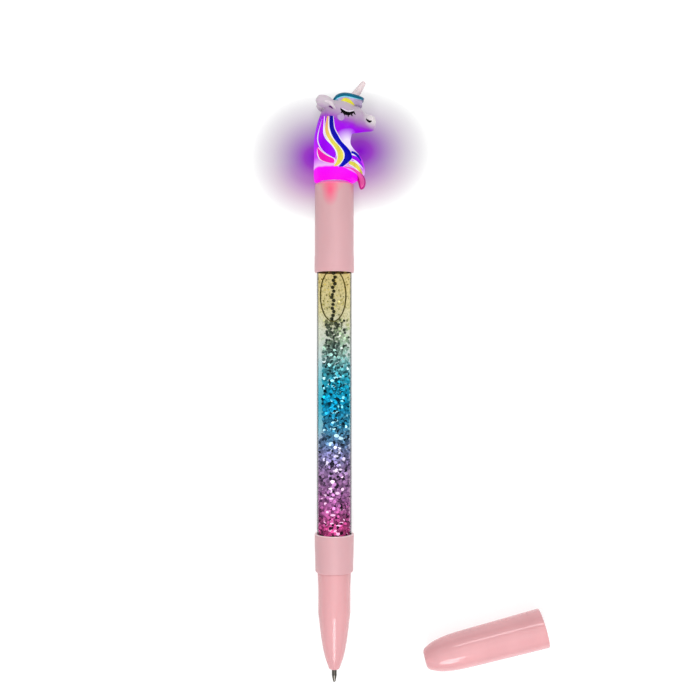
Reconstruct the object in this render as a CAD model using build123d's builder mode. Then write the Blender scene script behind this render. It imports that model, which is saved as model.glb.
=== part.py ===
from build123d import *
import os
from math import cos, radians, sin

# Light-up glitter gel pen, lying flat and uncapped, with its cap beside it. Millimetres, +Z up.

# ---- Driving dimensions. Places along the pen are measured from the writing point. ----
SLIP = 0.05  # radial gap of a part that turns or slides in another
GAP = 0.03  # end gap between faces that move apart

# Refill
BALL_R = 0.35
BALL_CLEARANCE = 0.015
TIP_RIM = 0.07  # metal round the ball's mouth
TIP_CONE_LENGTH = 2.2
SHANK_R = 0.785
SHANK_REST = 0.15  # the shank's shoulder stands this far behind the nose's bore
TIP_SHOULDER = 0.365
TIP_BODY_LENGTH = 3.2
TIP_TAIL_STEP, TIP_TAIL_LENGTH = 0.25, 2.0
INK_FEED_LENGTH = 3.0
REFILL_R, REFILL_WALL = 1.9, 0.6
REFILL_RECESS = 0.2  # the refill ends this far inside the grip's spigot
EMPTY_LENGTH = 8.3  # refill tube left above the ink
GREASE_LENGTH = 2.0
TAIL_PLUG_LENGTH, TAIL_PLUG_RIM, TAIL_VENT_R = 2.8, 0.8, 0.4

# Grip
NOSE_START = 4.15
NOSE_WALL, NOSE_CHAMFER = 0.915, 0.25
NOSE_BORE_LENGTH = 2.1
GRIP_R = 5.0
TAPER_LENGTH = 17.55
GRIP_FLAT_LENGTH = 7.5
GRIP_BACK_LENGTH, GRIP_BACK_FLARE = 5.1, 0.2
SPIGOT_STEP, SPIGOT_LENGTH = 0.9, 5.2
TIP_CLEARANCE = 0.15
REFILL_CLEARANCE = 0.2

# Collar
SPIGOT_END_CLEARANCE = 0.45
COLLAR_WEB, COLLAR_VENT_R = 1.1, 1.2
VIAL_SOCKET_DEPTH = 5.0
FITTING_WALL = 0.75
COLLAR_TAPER, COLLAR_RIM = 0.3, 0.4

# Clear barrel and what it holds
VIAL_R, VIAL_WALL = 5.4, 0.8
VIAL_LENGTH = 92.0
VIAL_PLUG_LENGTH, VIAL_PLUG_CHAMFER = 3.0, 0.2
BUBBLE_WIDTH, BUBBLE_LENGTH, BUBBLE_DEPTH = 13.7, 17.5, 3.0
BUBBLE_TOP_GAP = 1.25
FLAKE_R, FLAKE_THICKNESS, FLAKE_COUNT = 0.65, 0.08, 48
FLAKE_MIDDLE_R, FLAKE_WALL_GAP, FLAKE_END_GAP = 1.2, 1.4, 4.0

# Sleeve and what it holds
SLEEVE_SOCKET_DEPTH = 6.2
SLEEVE_SOCKET_WALL = 0.6
SLEEVE_WALL = 0.85
SLEEVE_FLARE, SLEEVE_FLARE_LENGTH = 0.15, 6.0
SLEEVE_LIP_STEP, SLEEVE_LIP_LENGTH = 0.45, 1.0
CELL_R, CELL_HEIGHT, CELL_COUNT = 3.95, 3.6, 3
CELL_RIM, CELL_STEP = 0.95, 0.4
CELL_CLEARANCE = 0.15
HOLDER_WALL, HOLDER_RIM, HOLDER_CLEARANCE = 1.0, 1.7, 0.2
SLOT_WIDTH, SLOT_DEPTH = 1.8, 0.6
STRIP_WIDTH, STRIP_THICKNESS = 1.5, 0.25
CONTACT_THICKNESS = 0.3
CONTACT_SPRING_LENGTH, CONTACT_SPRING_R = 2.4, 2.2
RETURN_SPRING_LENGTH = 1.97
WIRE_R, SPRING_END_GAP = 0.18, 0.02
BOARD_THICKNESS, BOARD_CLEARANCE = 0.8, 0.1
STEM_FLANGE = 1.0
STUD_R, STUD_GAP = 0.8, 0.01
CHIP_LENGTH, CHIP_WIDTH, CHIP_HEIGHT, CHIP_PLACE = 0.8, 1.6, 0.5, 2.4
LED_R, LED_LENGTH, LED_FLANGE, LED_FLANGE_LENGTH = 2.5, 8.0, 0.4, 1.0
LEAD_WIDTH, LEAD_LENGTH, LEAD_PLACE = 0.5, 0.6, 1.27
STEM_CLEARANCE = 0.6
STEM_REACH = 3.4

# Unicorn head, measured from the top of the sleeve
PRESS_TRAVEL = 0.5
HEAD_END_CLEARANCE = 0.1
HEAD_SOCKET_WALL = 0.85
HEAD_SKIN = 1.1
HAIR_RELIEF = 0.4
# Stations up the neck and skull: (height, middle across, half width, depth lost on each side)
CREST_STATIONS = [(0.6, 1.25, 7.25, 0.0), (3.0, 1.45, 7.5, 0.0), (6.0, 1.4, 7.4, 0.0),
                  (10.0, 0.1, 6.1, 0.05), (14.5, 0.0, 5.6, 0.25), (18.0, 1.6, 6.4, 0.15),
                  (21.5, 2.2, 6.5, 0.35), (24.5, 1.9, 5.3, 1.25), (26.2, 1.7, 3.4, 2.75),
                  (26.8, 1.7, 1.2, 4.45)]
# Stations along the muzzle: (distance across, middle height, half height, half depth)
MUZZLE_STATIONS = [(4.0, 19.3, 3.4, 3.9), (8.5, 18.9, 2.8, 3.6), (11.3, 18.8, 2.4, 3.1),
                   (12.5, 18.8, 1.6, 2.1), (12.85, 18.8, 0.6, 0.8)]
EAR_FOOT, EAR_TIP, EAR_R, EAR_TIP_R, EAR_SPREAD = (-1.9, 24.0), (-5.2, 26.0), 2.0, 0.5, 2.6
# Stations along the forelock: (distance across, middle height, half height, half depth)
FORELOCK_STATIONS = [(-0.8, 26.1, 0.5, 1.4), (1.4, 26.3, 1.6, 3.1), (4.4, 26.4, 1.9, 3.7),
                     (7.4, 26.0, 1.6, 3.1), (9.0, 25.7, 0.7, 1.6)]
HORN_FOOT, HORN_TIP, HORN_FOOT_R, HORN_TIP_R = (6.1, 27.2), (9.6, 31.7), 1.35, 0.4
HAIR_REACH = 6.4
CURL_HALF_DEPTH = 3.0

# Cap
CAP_LENGTH = 38.1
CAP_CLEARANCE = 0.05
CAP_MOUTH_WALL, CAP_WALL = 0.85, 0.75
CAP_BORE_LENGTH, CAP_BORE_STEP = 12.0, 0.25
CAP_TAPER = 0.48
CAP_NOSE_LENGTH, CAP_SHOULDER_PLACE, CAP_SHOULDER_DROP = 12.4, 4.6, 0.8
CAP_INNER_SHOULDER_PLACE, CAP_INNER_SHOULDER_DROP = 5.5, 1.47
CAP_END_R, CAP_END_WALL, CAP_INNER_END_R = 2.1, 2.1, 2.4
CAP_RIM, CAP_RIM_LENGTH = 0.2, 0.5
CAP_TURN = 14.8  # from +X, mouth outwards
CAP_END_ACROSS, CAP_END_ALONG = 28.1, 7.0

# ---- Sizes that follow from the fits ----
TIP_BODY_R = SHANK_R + TIP_SHOULDER
TIP_TAIL_R = TIP_BODY_R - TIP_TAIL_STEP
REFILL_BORE_R = REFILL_R - REFILL_WALL
NOSE_END_R = SHANK_R + NOSE_WALL
GRIP_BACK_R = GRIP_R + GRIP_BACK_FLARE
SPIGOT_R = GRIP_BACK_R - SPIGOT_STEP
VIAL_BORE_R = VIAL_R - VIAL_WALL
HOLDER_BORE_R = CELL_R + CELL_CLEARANCE
HOLDER_R = HOLDER_BORE_R + HOLDER_WALL
SLEEVE_BORE_R = HOLDER_R + SLIP
SLEEVE_TOP_R = max(SLEEVE_BORE_R + SLEEVE_WALL, VIAL_R + SLEEVE_SOCKET_WALL)
FITTING_R = max(VIAL_R + FITTING_WALL, SLEEVE_TOP_R + SLEEVE_FLARE)
SLEEVE_LIP_R = SLEEVE_BORE_R - SLEEVE_LIP_STEP
STEM_R = SLEEVE_LIP_R - 2 * SLIP
STEM_BORE_R = LED_R + STEM_CLEARANCE
HEAD_HALF_DEPTH = STEM_R + HEAD_SOCKET_WALL
HEAD_GAP = PRESS_TRAVEL + HEAD_END_CLEARANCE
CAP_BORE_R = GRIP_BACK_R + CAP_CLEARANCE
CAP_MOUTH_R = CAP_BORE_R + CAP_MOUTH_WALL
CAP_WAIST_R = CAP_MOUTH_R - CAP_TAPER

# ---- Places along the pen ----
GRIP_FLAT_START = NOSE_START + TAPER_LENGTH
GRIP_END = GRIP_FLAT_START + GRIP_FLAT_LENGTH + GRIP_BACK_LENGTH
SPIGOT_END = GRIP_END + SPIGOT_LENGTH
SHANK_END = NOSE_START + NOSE_BORE_LENGTH + SHANK_REST
TIP_BODY_END = SHANK_END + TIP_BODY_LENGTH
TIP_TAIL_END = TIP_BODY_END + TIP_TAIL_LENGTH
INK_START = TIP_TAIL_END + INK_FEED_LENGTH
REFILL_END = SPIGOT_END - REFILL_RECESS
INK_END = REFILL_END - EMPTY_LENGTH
COLLAR_START = GRIP_END + GAP
VIAL_START = COLLAR_START + SPIGOT_LENGTH + SPIGOT_END_CLEARANCE + COLLAR_WEB
COLLAR_END = VIAL_START + VIAL_SOCKET_DEPTH
VIAL_END = VIAL_START + VIAL_LENGTH
LIQUID_START = VIAL_START + VIAL_PLUG_LENGTH
LIQUID_END = VIAL_END - VIAL_PLUG_LENGTH
SLEEVE_START = VIAL_END - SLEEVE_SOCKET_DEPTH
HOLDER_START = VIAL_END + HOLDER_CLEARANCE
HOLDER_FLOOR_END = HOLDER_START + HOLDER_WALL
CELLS_START = HOLDER_FLOOR_END + CONTACT_THICKNESS + CONTACT_SPRING_LENGTH
CELLS_END = CELLS_START + CELL_COUNT * CELL_HEIGHT
HOLDER_END = CELLS_END + HOLDER_RIM
BOARD_START = HOLDER_END + RETURN_SPRING_LENGTH
BOARD_END = BOARD_START + BOARD_THICKNESS
STEM_FLANGE_END = BOARD_END + STEM_FLANGE
LIP_START = STEM_FLANGE_END + GAP
SLEEVE_END = LIP_START + SLEEVE_LIP_LENGTH
STEM_END = SLEEVE_END + HEAD_GAP + STEM_REACH
PEN_LENGTH = SLEEVE_END + HORN_TIP[1]

# ---- The frame: the middle of the whole layout, on the surface that it lies on ----
CAP_ALONG_X, CAP_ALONG_Y = cos(radians(CAP_TURN)), sin(radians(CAP_TURN))
RIGHT_REACH = CAP_END_ACROSS + CAP_LENGTH * CAP_ALONG_X + CAP_MOUTH_R * CAP_ALONG_Y
PEN_X = -(RIGHT_REACH - HAIR_REACH) / 2
POINT_Y = -PEN_LENGTH / 2
AXIS_Z = FITTING_R

POINT = Vector(PEN_X, POINT_Y, AXIS_Z)
PEN_AXIS = Axis(POINT, (0, 1, 0))
LENGTHWISE = Plane(origin=POINT, x_dir=(0, 1, 0), z_dir=(0, 0, 1))
PROFILE = Plane(origin=POINT + Vector(0, SLEEVE_END, 0), x_dir=(1, 0, 0), z_dir=(0, 0, 1))
CAP_ORIGIN = Vector(PEN_X + CAP_END_ACROSS, POINT_Y + CAP_END_ALONG, CAP_MOUTH_R)
CAP_AXIS = Axis(CAP_ORIGIN, (CAP_ALONG_X, CAP_ALONG_Y, 0))
CAP_PLANE = Plane(origin=CAP_ORIGIN, x_dir=(CAP_ALONG_X, CAP_ALONG_Y, 0), z_dir=(0, 0, 1))

ON_FACE = (Align.CENTER, Align.CENTER, Align.MIN)
UNDER_FACE = (Align.CENTER, Align.CENTER, Align.MAX)

os.makedirs("parts", exist_ok=True)


def across(along):
    """Return the plane square to the pen at a place along it, facing the head."""
    return Plane(origin=POINT + Vector(0, along, 0), x_dir=(1, 0, 0), z_dir=(0, 1, 0))


def sideways(side):
    """Return the plane square to the muzzle, with its first direction up the head."""
    return Plane(origin=PROFILE.from_local_coords(Vector(side, 0, 0)), x_dir=(0, 1, 0),
                 z_dir=(1, 0, 0))


def half_section(*points):
    """Return the face inside points of (place along the axis, radius)."""
    with BuildSketch(LENGTHWISE) as section:
        with BuildLine():
            Polyline(*points, close=True)
        make_face()
    return section.sketch


def turned(*points):
    """Add the ring that these points of (place, radius) sweep round the pen's axis."""
    revolve(half_section(*points), axis=PEN_AXIS)


def tube(start, end, outer, inner=0.0):
    """Add a round length between two places, solid or hollow."""
    turned((start, inner), (end, inner), (end, outer), (start, outer))


def drill(start, end, radius):
    """Cut a round hole along the pen's axis."""
    with BuildSketch(across(start)) as hole:
        Circle(radius)
    extrude(hole.sketch, amount=end - start, mode=Mode.SUBTRACT)


# ---- Refill ----
def make_refill():
    mouth_r = BALL_R + TIP_RIM
    feed_r = TIP_TAIL_R / 2
    tube_end = REFILL_END - TAIL_PLUG_RIM
    plug_start = REFILL_END - TAIL_PLUG_LENGTH
    ball_middle = POINT + Vector(0, BALL_R, 0)

    with BuildPart() as tip_ball:
        with Locations(ball_middle):
            Sphere(BALL_R)
    tip_ball.part.label = "tip_ball"
    export_step(tip_ball.part, "parts/tip_ball.step")

    with BuildPart() as metal_tip:
        turned((BALL_R, 0), (BALL_R, mouth_r), (TIP_CONE_LENGTH, SHANK_R), (SHANK_END, SHANK_R),
               (SHANK_END, TIP_BODY_R), (TIP_BODY_END, TIP_BODY_R), (TIP_BODY_END, TIP_TAIL_R),
               (TIP_TAIL_END, TIP_TAIL_R), (TIP_TAIL_END, 0))
        with Locations(ball_middle):
            Sphere(BALL_R + BALL_CLEARANCE, mode=Mode.SUBTRACT)
        drill(TIP_CONE_LENGTH, TIP_TAIL_END, feed_r)
    metal_tip.part.label = "metal_tip"
    export_step(metal_tip.part, "parts/metal_tip.step")

    with BuildPart() as tip_holder:
        turned((TIP_BODY_END, TIP_TAIL_R), (TIP_TAIL_END, TIP_TAIL_R), (TIP_TAIL_END, feed_r),
               (INK_START, feed_r), (INK_START, REFILL_BORE_R), (TIP_TAIL_END, REFILL_BORE_R),
               (TIP_TAIL_END, REFILL_R), (TIP_BODY_END, REFILL_R))
    tip_holder.part.label = "tip_holder"
    export_step(tip_holder.part, "parts/tip_holder.step")

    with BuildPart() as refill_tube:
        tube(TIP_TAIL_END, tube_end, REFILL_R, REFILL_BORE_R)
    refill_tube.part.label = "refill_tube"
    export_step(refill_tube.part, "parts/refill_tube.step")

    with BuildPart() as gel_ink:
        tube(INK_START, INK_END, REFILL_BORE_R)
    gel_ink.part.label = "gel_ink"
    export_step(gel_ink.part, "parts/gel_ink.step")

    with BuildPart() as grease_follower:
        tube(INK_END, INK_END + GREASE_LENGTH, REFILL_BORE_R)
    grease_follower.part.label = "grease_follower"
    export_step(grease_follower.part, "parts/grease_follower.step")

    with BuildPart() as tail_plug:
        turned((plug_start, TAIL_VENT_R), (REFILL_END, TAIL_VENT_R), (REFILL_END, REFILL_R),
               (tube_end, REFILL_R), (tube_end, REFILL_BORE_R), (plug_start, REFILL_BORE_R))
    tail_plug.part.label = "refill_tail_plug"
    export_step(tail_plug.part, "parts/refill_tail_plug.step")


# ---- Grip: a nose that swells into a plain cylinder, then a slightly wider back ----
def make_grip():
    nose_bore_end = NOSE_START + NOSE_BORE_LENGTH
    tip_bore_end = TIP_BODY_END - SLIP
    flat_end = GRIP_FLAT_START + GRIP_FLAT_LENGTH
    swell_r = GRIP_R - NOSE_END_R

    with BuildPart() as grip:
        with BuildSketch(LENGTHWISE):
            with BuildLine():
                Polyline((NOSE_START, 0), (NOSE_START, NOSE_END_R - NOSE_CHAMFER),
                         (NOSE_START + NOSE_CHAMFER, NOSE_END_R))
                Spline((NOSE_START + NOSE_CHAMFER, NOSE_END_R),
                       (NOSE_START + 0.26 * TAPER_LENGTH, NOSE_END_R + 0.425 * swell_r),
                       (NOSE_START + 0.58 * TAPER_LENGTH, NOSE_END_R + 0.735 * swell_r),
                       (GRIP_FLAT_START, GRIP_R), tangents=((0.75, 0.66), (1, 0)))
                Polyline((GRIP_FLAT_START, GRIP_R), (flat_end, GRIP_R), (GRIP_END, GRIP_BACK_R),
                         (GRIP_END, SPIGOT_R), (SPIGOT_END, SPIGOT_R), (SPIGOT_END, 0),
                         (NOSE_START, 0))
            make_face()
        revolve(axis=PEN_AXIS)
        drill(NOSE_START, nose_bore_end, SHANK_R + SLIP)
        drill(nose_bore_end, tip_bore_end, TIP_BODY_R + TIP_CLEARANCE)
        drill(tip_bore_end, SPIGOT_END, REFILL_R + REFILL_CLEARANCE)
    grip.part.label = "grip"
    export_step(grip.part, "parts/grip.step")


# ---- Collar: joins the grip to the clear barrel ----
def make_collar():
    socket_r = SPIGOT_R + SLIP
    web_start = VIAL_START - COLLAR_WEB
    front_r = FITTING_R - COLLAR_TAPER
    with BuildPart() as collar:
        turned((COLLAR_START, socket_r), (web_start, socket_r), (web_start, COLLAR_VENT_R),
               (VIAL_START, COLLAR_VENT_R), (VIAL_START, VIAL_R), (COLLAR_END, VIAL_R),
               (COLLAR_END, FITTING_R - COLLAR_RIM / 4), (COLLAR_END - COLLAR_RIM, FITTING_R),
               (COLLAR_END - 2 * COLLAR_RIM, FITTING_R), (COLLAR_START + COLLAR_RIM, front_r),
               (COLLAR_START, front_r - COLLAR_RIM / 2))
    collar.part.label = "collar"
    export_step(collar.part, "parts/collar.step")


# ---- Clear barrel, its plugs, the liquid with its bubble, and the flakes ----
def make_vial():
    with BuildPart() as barrel_tube:
        tube(VIAL_START, VIAL_END, VIAL_R, VIAL_BORE_R)
    barrel_tube.part.label = "barrel_tube"
    export_step(barrel_tube.part, "parts/barrel_tube.step")

    for name, start in (("lower_plug", VIAL_START), ("upper_plug", LIQUID_END)):
        with BuildPart() as plug:
            tube(start, start + VIAL_PLUG_LENGTH, VIAL_BORE_R)
            chamfer(plug.edges().filter_by(GeomType.CIRCLE), VIAL_PLUG_CHAMFER)
        plug.part.label = name
        export_step(plug.part, f"parts/{name}.step")

    bubble_place = LIQUID_END - BUBBLE_TOP_GAP - BUBBLE_LENGTH / 2
    with BuildPart(mode=Mode.PRIVATE) as bubble:
        Sphere(1)
        scale(by=(BUBBLE_WIDTH / 2, BUBBLE_LENGTH / 2, BUBBLE_DEPTH))
    with BuildPart() as liquid:
        tube(LIQUID_START, LIQUID_END, VIAL_BORE_R)
        with Locations(POINT + Vector(0, bubble_place, VIAL_BORE_R)):
            add(bubble.part, mode=Mode.SUBTRACT)
    liquid.part.label = "liquid"
    export_step(liquid.part, "parts/liquid.step")

    pitch = (LIQUID_END - LIQUID_START - 2 * FLAKE_END_GAP) / FLAKE_COUNT
    reach_range = VIAL_BORE_R - FLAKE_WALL_GAP - FLAKE_MIDDLE_R
    turn_step = 137.5  # degrees from one flake to the next, so that no two line up
    with BuildPart() as flakes:
        for index in range(FLAKE_COUNT):
            turn = radians(turn_step * index)
            reach = FLAKE_MIDDLE_R + reach_range * ((index * 7) % 5) / 4
            along = LIQUID_START + FLAKE_END_GAP + pitch * index
            spot = Plane(origin=POINT + Vector(reach * cos(turn), along, -abs(reach * sin(turn))),
                         x_dir=(1, 0, 0), z_dir=(sin(turn), 0.3, 1))
            with BuildSketch(spot):
                RegularPolygon(FLAKE_R, 6)
            extrude(amount=FLAKE_THICKNESS)
    flakes.part.label = "glitter_flakes"
    export_step(flakes.part, "parts/glitter_flakes.step")


# ---- Sleeve, batteries and light ----
def make_sleeve():
    rim = SLEEVE_WALL / 4
    with BuildPart() as sleeve:
        turned((SLEEVE_START, VIAL_R), (VIAL_END, VIAL_R), (VIAL_END, SLEEVE_BORE_R),
               (LIP_START, SLEEVE_BORE_R), (LIP_START, SLEEVE_LIP_R), (SLEEVE_END, SLEEVE_LIP_R),
               (SLEEVE_END, SLEEVE_TOP_R - rim), (SLEEVE_END - rim, SLEEVE_TOP_R),
               (SLEEVE_START + SLEEVE_FLARE_LENGTH, SLEEVE_TOP_R),
               (SLEEVE_START + 3 * rim, FITTING_R), (SLEEVE_START, FITTING_R - rim))
    sleeve.part.label = "sleeve"
    export_step(sleeve.part, "parts/sleeve.step")


def make_battery_pack():
    with BuildPart() as holder:
        turned((HOLDER_START, 0), (HOLDER_START, HOLDER_R), (HOLDER_END, HOLDER_R),
               (HOLDER_END, HOLDER_BORE_R), (HOLDER_FLOOR_END, HOLDER_BORE_R),
               (HOLDER_FLOOR_END, 0))
        with Locations(across(HOLDER_FLOOR_END)):
            with Locations((0, HOLDER_R - SLOT_DEPTH / 2, 0)):
                Box(SLOT_WIDTH, SLOT_DEPTH, HOLDER_END - HOLDER_FLOOR_END, align=ON_FACE,
                    mode=Mode.SUBTRACT)
            with Locations((0, HOLDER_R - HOLDER_WALL / 2, 0)):
                Box(SLOT_WIDTH, HOLDER_WALL + CELL_CLEARANCE, CONTACT_THICKNESS, align=ON_FACE,
                    mode=Mode.SUBTRACT)
    holder.part.label = "battery_holder"
    export_step(holder.part, "parts/battery_holder.step")

    disc_r = HOLDER_BORE_R - SLIP
    strip_r = HOLDER_R - SLOT_DEPTH + STRIP_THICKNESS / 2
    with BuildPart() as bottom_contact:
        tube(HOLDER_FLOOR_END, HOLDER_FLOOR_END + CONTACT_THICKNESS, disc_r)
        with Locations(across(HOLDER_FLOOR_END)):
            with Locations((0, strip_r, 0)):
                Box(STRIP_WIDTH, STRIP_THICKNESS, HOLDER_END - HOLDER_FLOOR_END, align=ON_FACE)
            with Locations((0, (disc_r + strip_r) / 2, 0)):
                Box(STRIP_WIDTH, strip_r - disc_r + STRIP_THICKNESS, CONTACT_THICKNESS,
                    align=ON_FACE)
    bottom_contact.part.label = "bottom_contact"
    export_step(bottom_contact.part, "parts/bottom_contact.step")

    coil("contact_spring", HOLDER_FLOOR_END + CONTACT_THICKNESS, CELLS_START, CONTACT_SPRING_R, 3)
    coil("return_spring", HOLDER_END, BOARD_START, HOLDER_R - HOLDER_WALL / 2, 2)

    for index in range(CELL_COUNT):
        start = CELLS_START + index * CELL_HEIGHT
        with BuildPart() as cell:
            turned((start, 0), (start, CELL_R - CELL_RIM), (start + CELL_STEP, CELL_R - CELL_RIM),
                   (start + CELL_STEP, CELL_R), (start + CELL_HEIGHT, CELL_R),
                   (start + CELL_HEIGHT, 0))
        cell.part.label = f"button_cell_{index + 1}"
        export_step(cell.part, f"parts/button_cell_{index + 1}.step")


def coil(name, start, end, radius, turns):
    """Write a round-wire spring whose end turns just clear the faces it sits between."""
    end_gap = WIRE_R + SPRING_END_GAP
    height = end - start - 2 * end_gap
    foot = POINT + Vector(0, start + end_gap, 0)
    with BuildPart() as spring:
        with BuildLine() as path:
            Helix(height / turns, height, radius, center=foot, direction=(0, 1, 0))
        with BuildSketch(Plane(origin=path.line @ 0, z_dir=path.line % 0)):
            Circle(WIRE_R)
        sweep(path=path.line, is_frenet=True)
    spring.part.label = name
    export_step(spring.part, f"parts/{name}.step")


def make_light():
    flange_r = SLEEVE_BORE_R - SLIP
    with BuildPart() as stem:
        turned((BOARD_END, STEM_BORE_R), (BOARD_END, flange_r), (STEM_FLANGE_END, flange_r),
               (STEM_FLANGE_END, STEM_R), (STEM_END, STEM_R), (STEM_END, STEM_BORE_R))
    stem.part.label = "head_stem"
    export_step(stem.part, "parts/head_stem.step")

    with BuildPart() as board:
        tube(BOARD_START, BOARD_END, flange_r - BOARD_CLEARANCE)
    board.part.label = "circuit_board"
    export_step(board.part, "parts/circuit_board.step")

    with BuildPart() as stud:
        tube(CELLS_END + PRESS_TRAVEL + STUD_GAP, BOARD_START, STUD_R)
    stud.part.label = "contact_stud"
    export_step(stud.part, "parts/contact_stud.step")

    with BuildPart() as resistor:
        with Locations(across(BOARD_START)):
            with Locations((CHIP_PLACE, 0, 0)):
                Box(CHIP_LENGTH, CHIP_WIDTH, CHIP_HEIGHT, align=UNDER_FACE)
    resistor.part.label = "chip_resistor"
    export_step(resistor.part, "parts/chip_resistor.step")

    led_start = BOARD_END + LEAD_LENGTH
    dome_start = led_start + LED_LENGTH - LED_R
    with BuildPart() as led:
        tube(led_start, led_start + LED_FLANGE_LENGTH, LED_R + LED_FLANGE)
        tube(led_start, dome_start, LED_R)
        with Locations(POINT + Vector(0, dome_start, 0)):
            Sphere(LED_R)
    led.part.label = "led"
    export_step(led.part, "parts/led.step")

    with BuildPart() as leads:
        with Locations(across(BOARD_END)):
            with Locations((-LEAD_PLACE, 0, 0), (LEAD_PLACE, 0, 0)):
                Box(LEAD_WIDTH, LEAD_WIDTH, LEAD_LENGTH, align=ON_FACE)
    leads.part.label = "led_leads"
    export_step(leads.part, "parts/led_leads.step")


# ---- Unicorn head ----
def ellipse_at(plane, middle, half_across, half_depth):
    """Return an elliptical face on a plane, its middle this far along the first direction."""
    with BuildSketch(plane) as face:
        with Locations((middle, 0)):
            Ellipse(half_across, half_depth)
    return face.sketch


def crest_loft(stations, grow):
    """Add the neck and skull through some stations, stood off by the same amount all round."""
    loft([ellipse_at(across(SLEEVE_END + height), middle, half + grow,
                     HEAD_HALF_DEPTH - lost + grow) for height, middle, half, lost in stations])


def muzzle_loft(stations, grow=0.0):
    """Add a rounded form whose stations follow one another across the head."""
    loft([ellipse_at(sideways(side), middle, half + grow, depth + grow)
          for side, middle, half, depth in stations])


def cone_between(foot, tip, foot_r, tip_r, depth=0.0):
    """Add a tapered round stem between two points of (side, height)."""
    start = PROFILE.from_local_coords(Vector(foot[0], foot[1], depth))
    end = PROFILE.from_local_coords(Vector(tip[0], tip[1], depth))
    with Locations(Plane(origin=start, x_dir=(0, 0, 1), z_dir=end - start)):
        Cone(foot_r, tip_r, (end - start).length, align=ON_FACE)


def make_head():
    """Write the head's shell, horn and forelock, and return the head without its hollow."""
    with BuildPart() as core:
        crest_loft(CREST_STATIONS, 0.0)
        muzzle_loft(MUZZLE_STATIONS)
        for side in (-1, 1):
            cone_between(EAR_FOOT, EAR_TIP, EAR_R, EAR_TIP_R, depth=side * EAR_SPREAD)

    with BuildPart() as hollow:
        crest_loft(CREST_STATIONS[1:-2], -HEAD_SKIN)

    with BuildPart() as head_shell:
        add(core.part)
        add(hollow.part, mode=Mode.SUBTRACT)
        drill(SLEEVE_END, STEM_END, STEM_R)
    head_shell.part.label = "head_shell"
    export_step(head_shell.part, "parts/head_shell.step")

    with BuildPart() as horn:
        cone_between(HORN_FOOT, HORN_TIP, HORN_FOOT_R, HORN_TIP_R)
        add(core.part, mode=Mode.SUBTRACT)
    horn.part.label = "horn"
    export_step(horn.part, "parts/horn.step")

    with BuildPart() as forelock:
        muzzle_loft(FORELOCK_STATIONS)
        add(core.part, mode=Mode.SUBTRACT)
        add(horn.part, mode=Mode.SUBTRACT)
    forelock.part.label = "forelock"
    export_step(forelock.part, "parts/forelock.step")
    return core.part


def leaf(outer_edge, inner_edge, root, tip):
    """Return the face between two edges that meet at a root and a tip, on the profile."""
    with BuildSketch(PROFILE) as face:
        with BuildLine():
            Spline(root, *outer_edge, tip)
            Spline(tip, *reversed(inner_edge), root)
        make_face()
    return face.sketch


def lock(name, core, outline, trim=()):
    """Write one raised lock: a leaf on each side of the head, and return it."""
    with BuildPart() as hair:
        crest_loft(CREST_STATIONS, HAIR_RELIEF)
        muzzle_loft(MUZZLE_STATIONS, HAIR_RELIEF)
        extrude(outline, amount=FITTING_R, both=True, mode=Mode.INTERSECT)
        add(core, mode=Mode.SUBTRACT)
        for neighbour in trim:
            add(neighbour, mode=Mode.SUBTRACT)
    hair.part.label = name
    export_step(hair.part, f"parts/{name}.step")
    return hair.part


def make_mane(core):
    lock("mane_blue_lock", core,
         leaf([(-1.2, 17.3), (-0.8, 14.9), (1.9, 11.5), (3.4, 8.3)],
              [(-0.2, 17.3), (0.8, 15.0), (4.1, 11.3), (4.9, 8.2)], (-0.6, 21.0), (2.0, 5.2)))
    lock("mane_yellow_lock", core,
         leaf([(-2.6, 17.3), (-2.3, 14.9), (0.3, 11.4), (1.0, 8.2)],
              [(-1.9, 17.3), (-1.3, 14.9), (1.9, 11.4), (2.6, 8.2)], (-1.5, 21.0), (-0.2, 5.4)))
    lock("mane_violet_lock", core,
         leaf([(-4.0, 17.3), (-4.3, 14.0), (-3.5, 10.5), (-1.6, 8.5)],
              [(-3.3, 17.3), (-3.2, 13.6), (-1.0, 11.2), (0.3, 9.2)], (-3.5, 20.5), (0.3, 7.3)))
    lock("mane_pink_lock", core,
         leaf([(-5.2, 14.3), (-5.1, 10.0), (-4.6, 7.4), (-2.6, 6.2)],
              [(-4.7, 14.0), (-4.3, 10.9), (-2.6, 8.4), (-1.0, 7.1)], (-4.7, 17.2), (-0.4, 6.0)))
    blue = lock("chest_blue_lock", core, leaf([(5.0, 9.4)], [(7.4, 9.5)], (5.4, 10.4), (8.0, 7.4)))
    lock("chest_violet_lock", core,
         leaf([(6.2, 7.6)], [(7.4, 7.9)], (5.6, 8.0), (8.4, 6.4)), trim=[blue])

    with BuildPart() as curl:
        extrude(leaf([(7.4, 1.9), (7.7, 0.2)], [(9.3, 3.6), (9.25, 1.0)], (6.6, 4.0), (8.1, -1.1)),
                amount=CURL_HALF_DEPTH, both=True)
        add(core, mode=Mode.SUBTRACT)
    curl.part.label = "chest_pink_curl"
    export_step(curl.part, "parts/chest_pink_curl.step")

    lock("chest_yellow_lock", core,
         leaf([(5.0, 6.3), (7.2, 4.9)], [(5.2, 7.2), (8.0, 5.7)], (4.4, 6.9), (9.2, 2.6)),
         trim=[curl.part])


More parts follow.
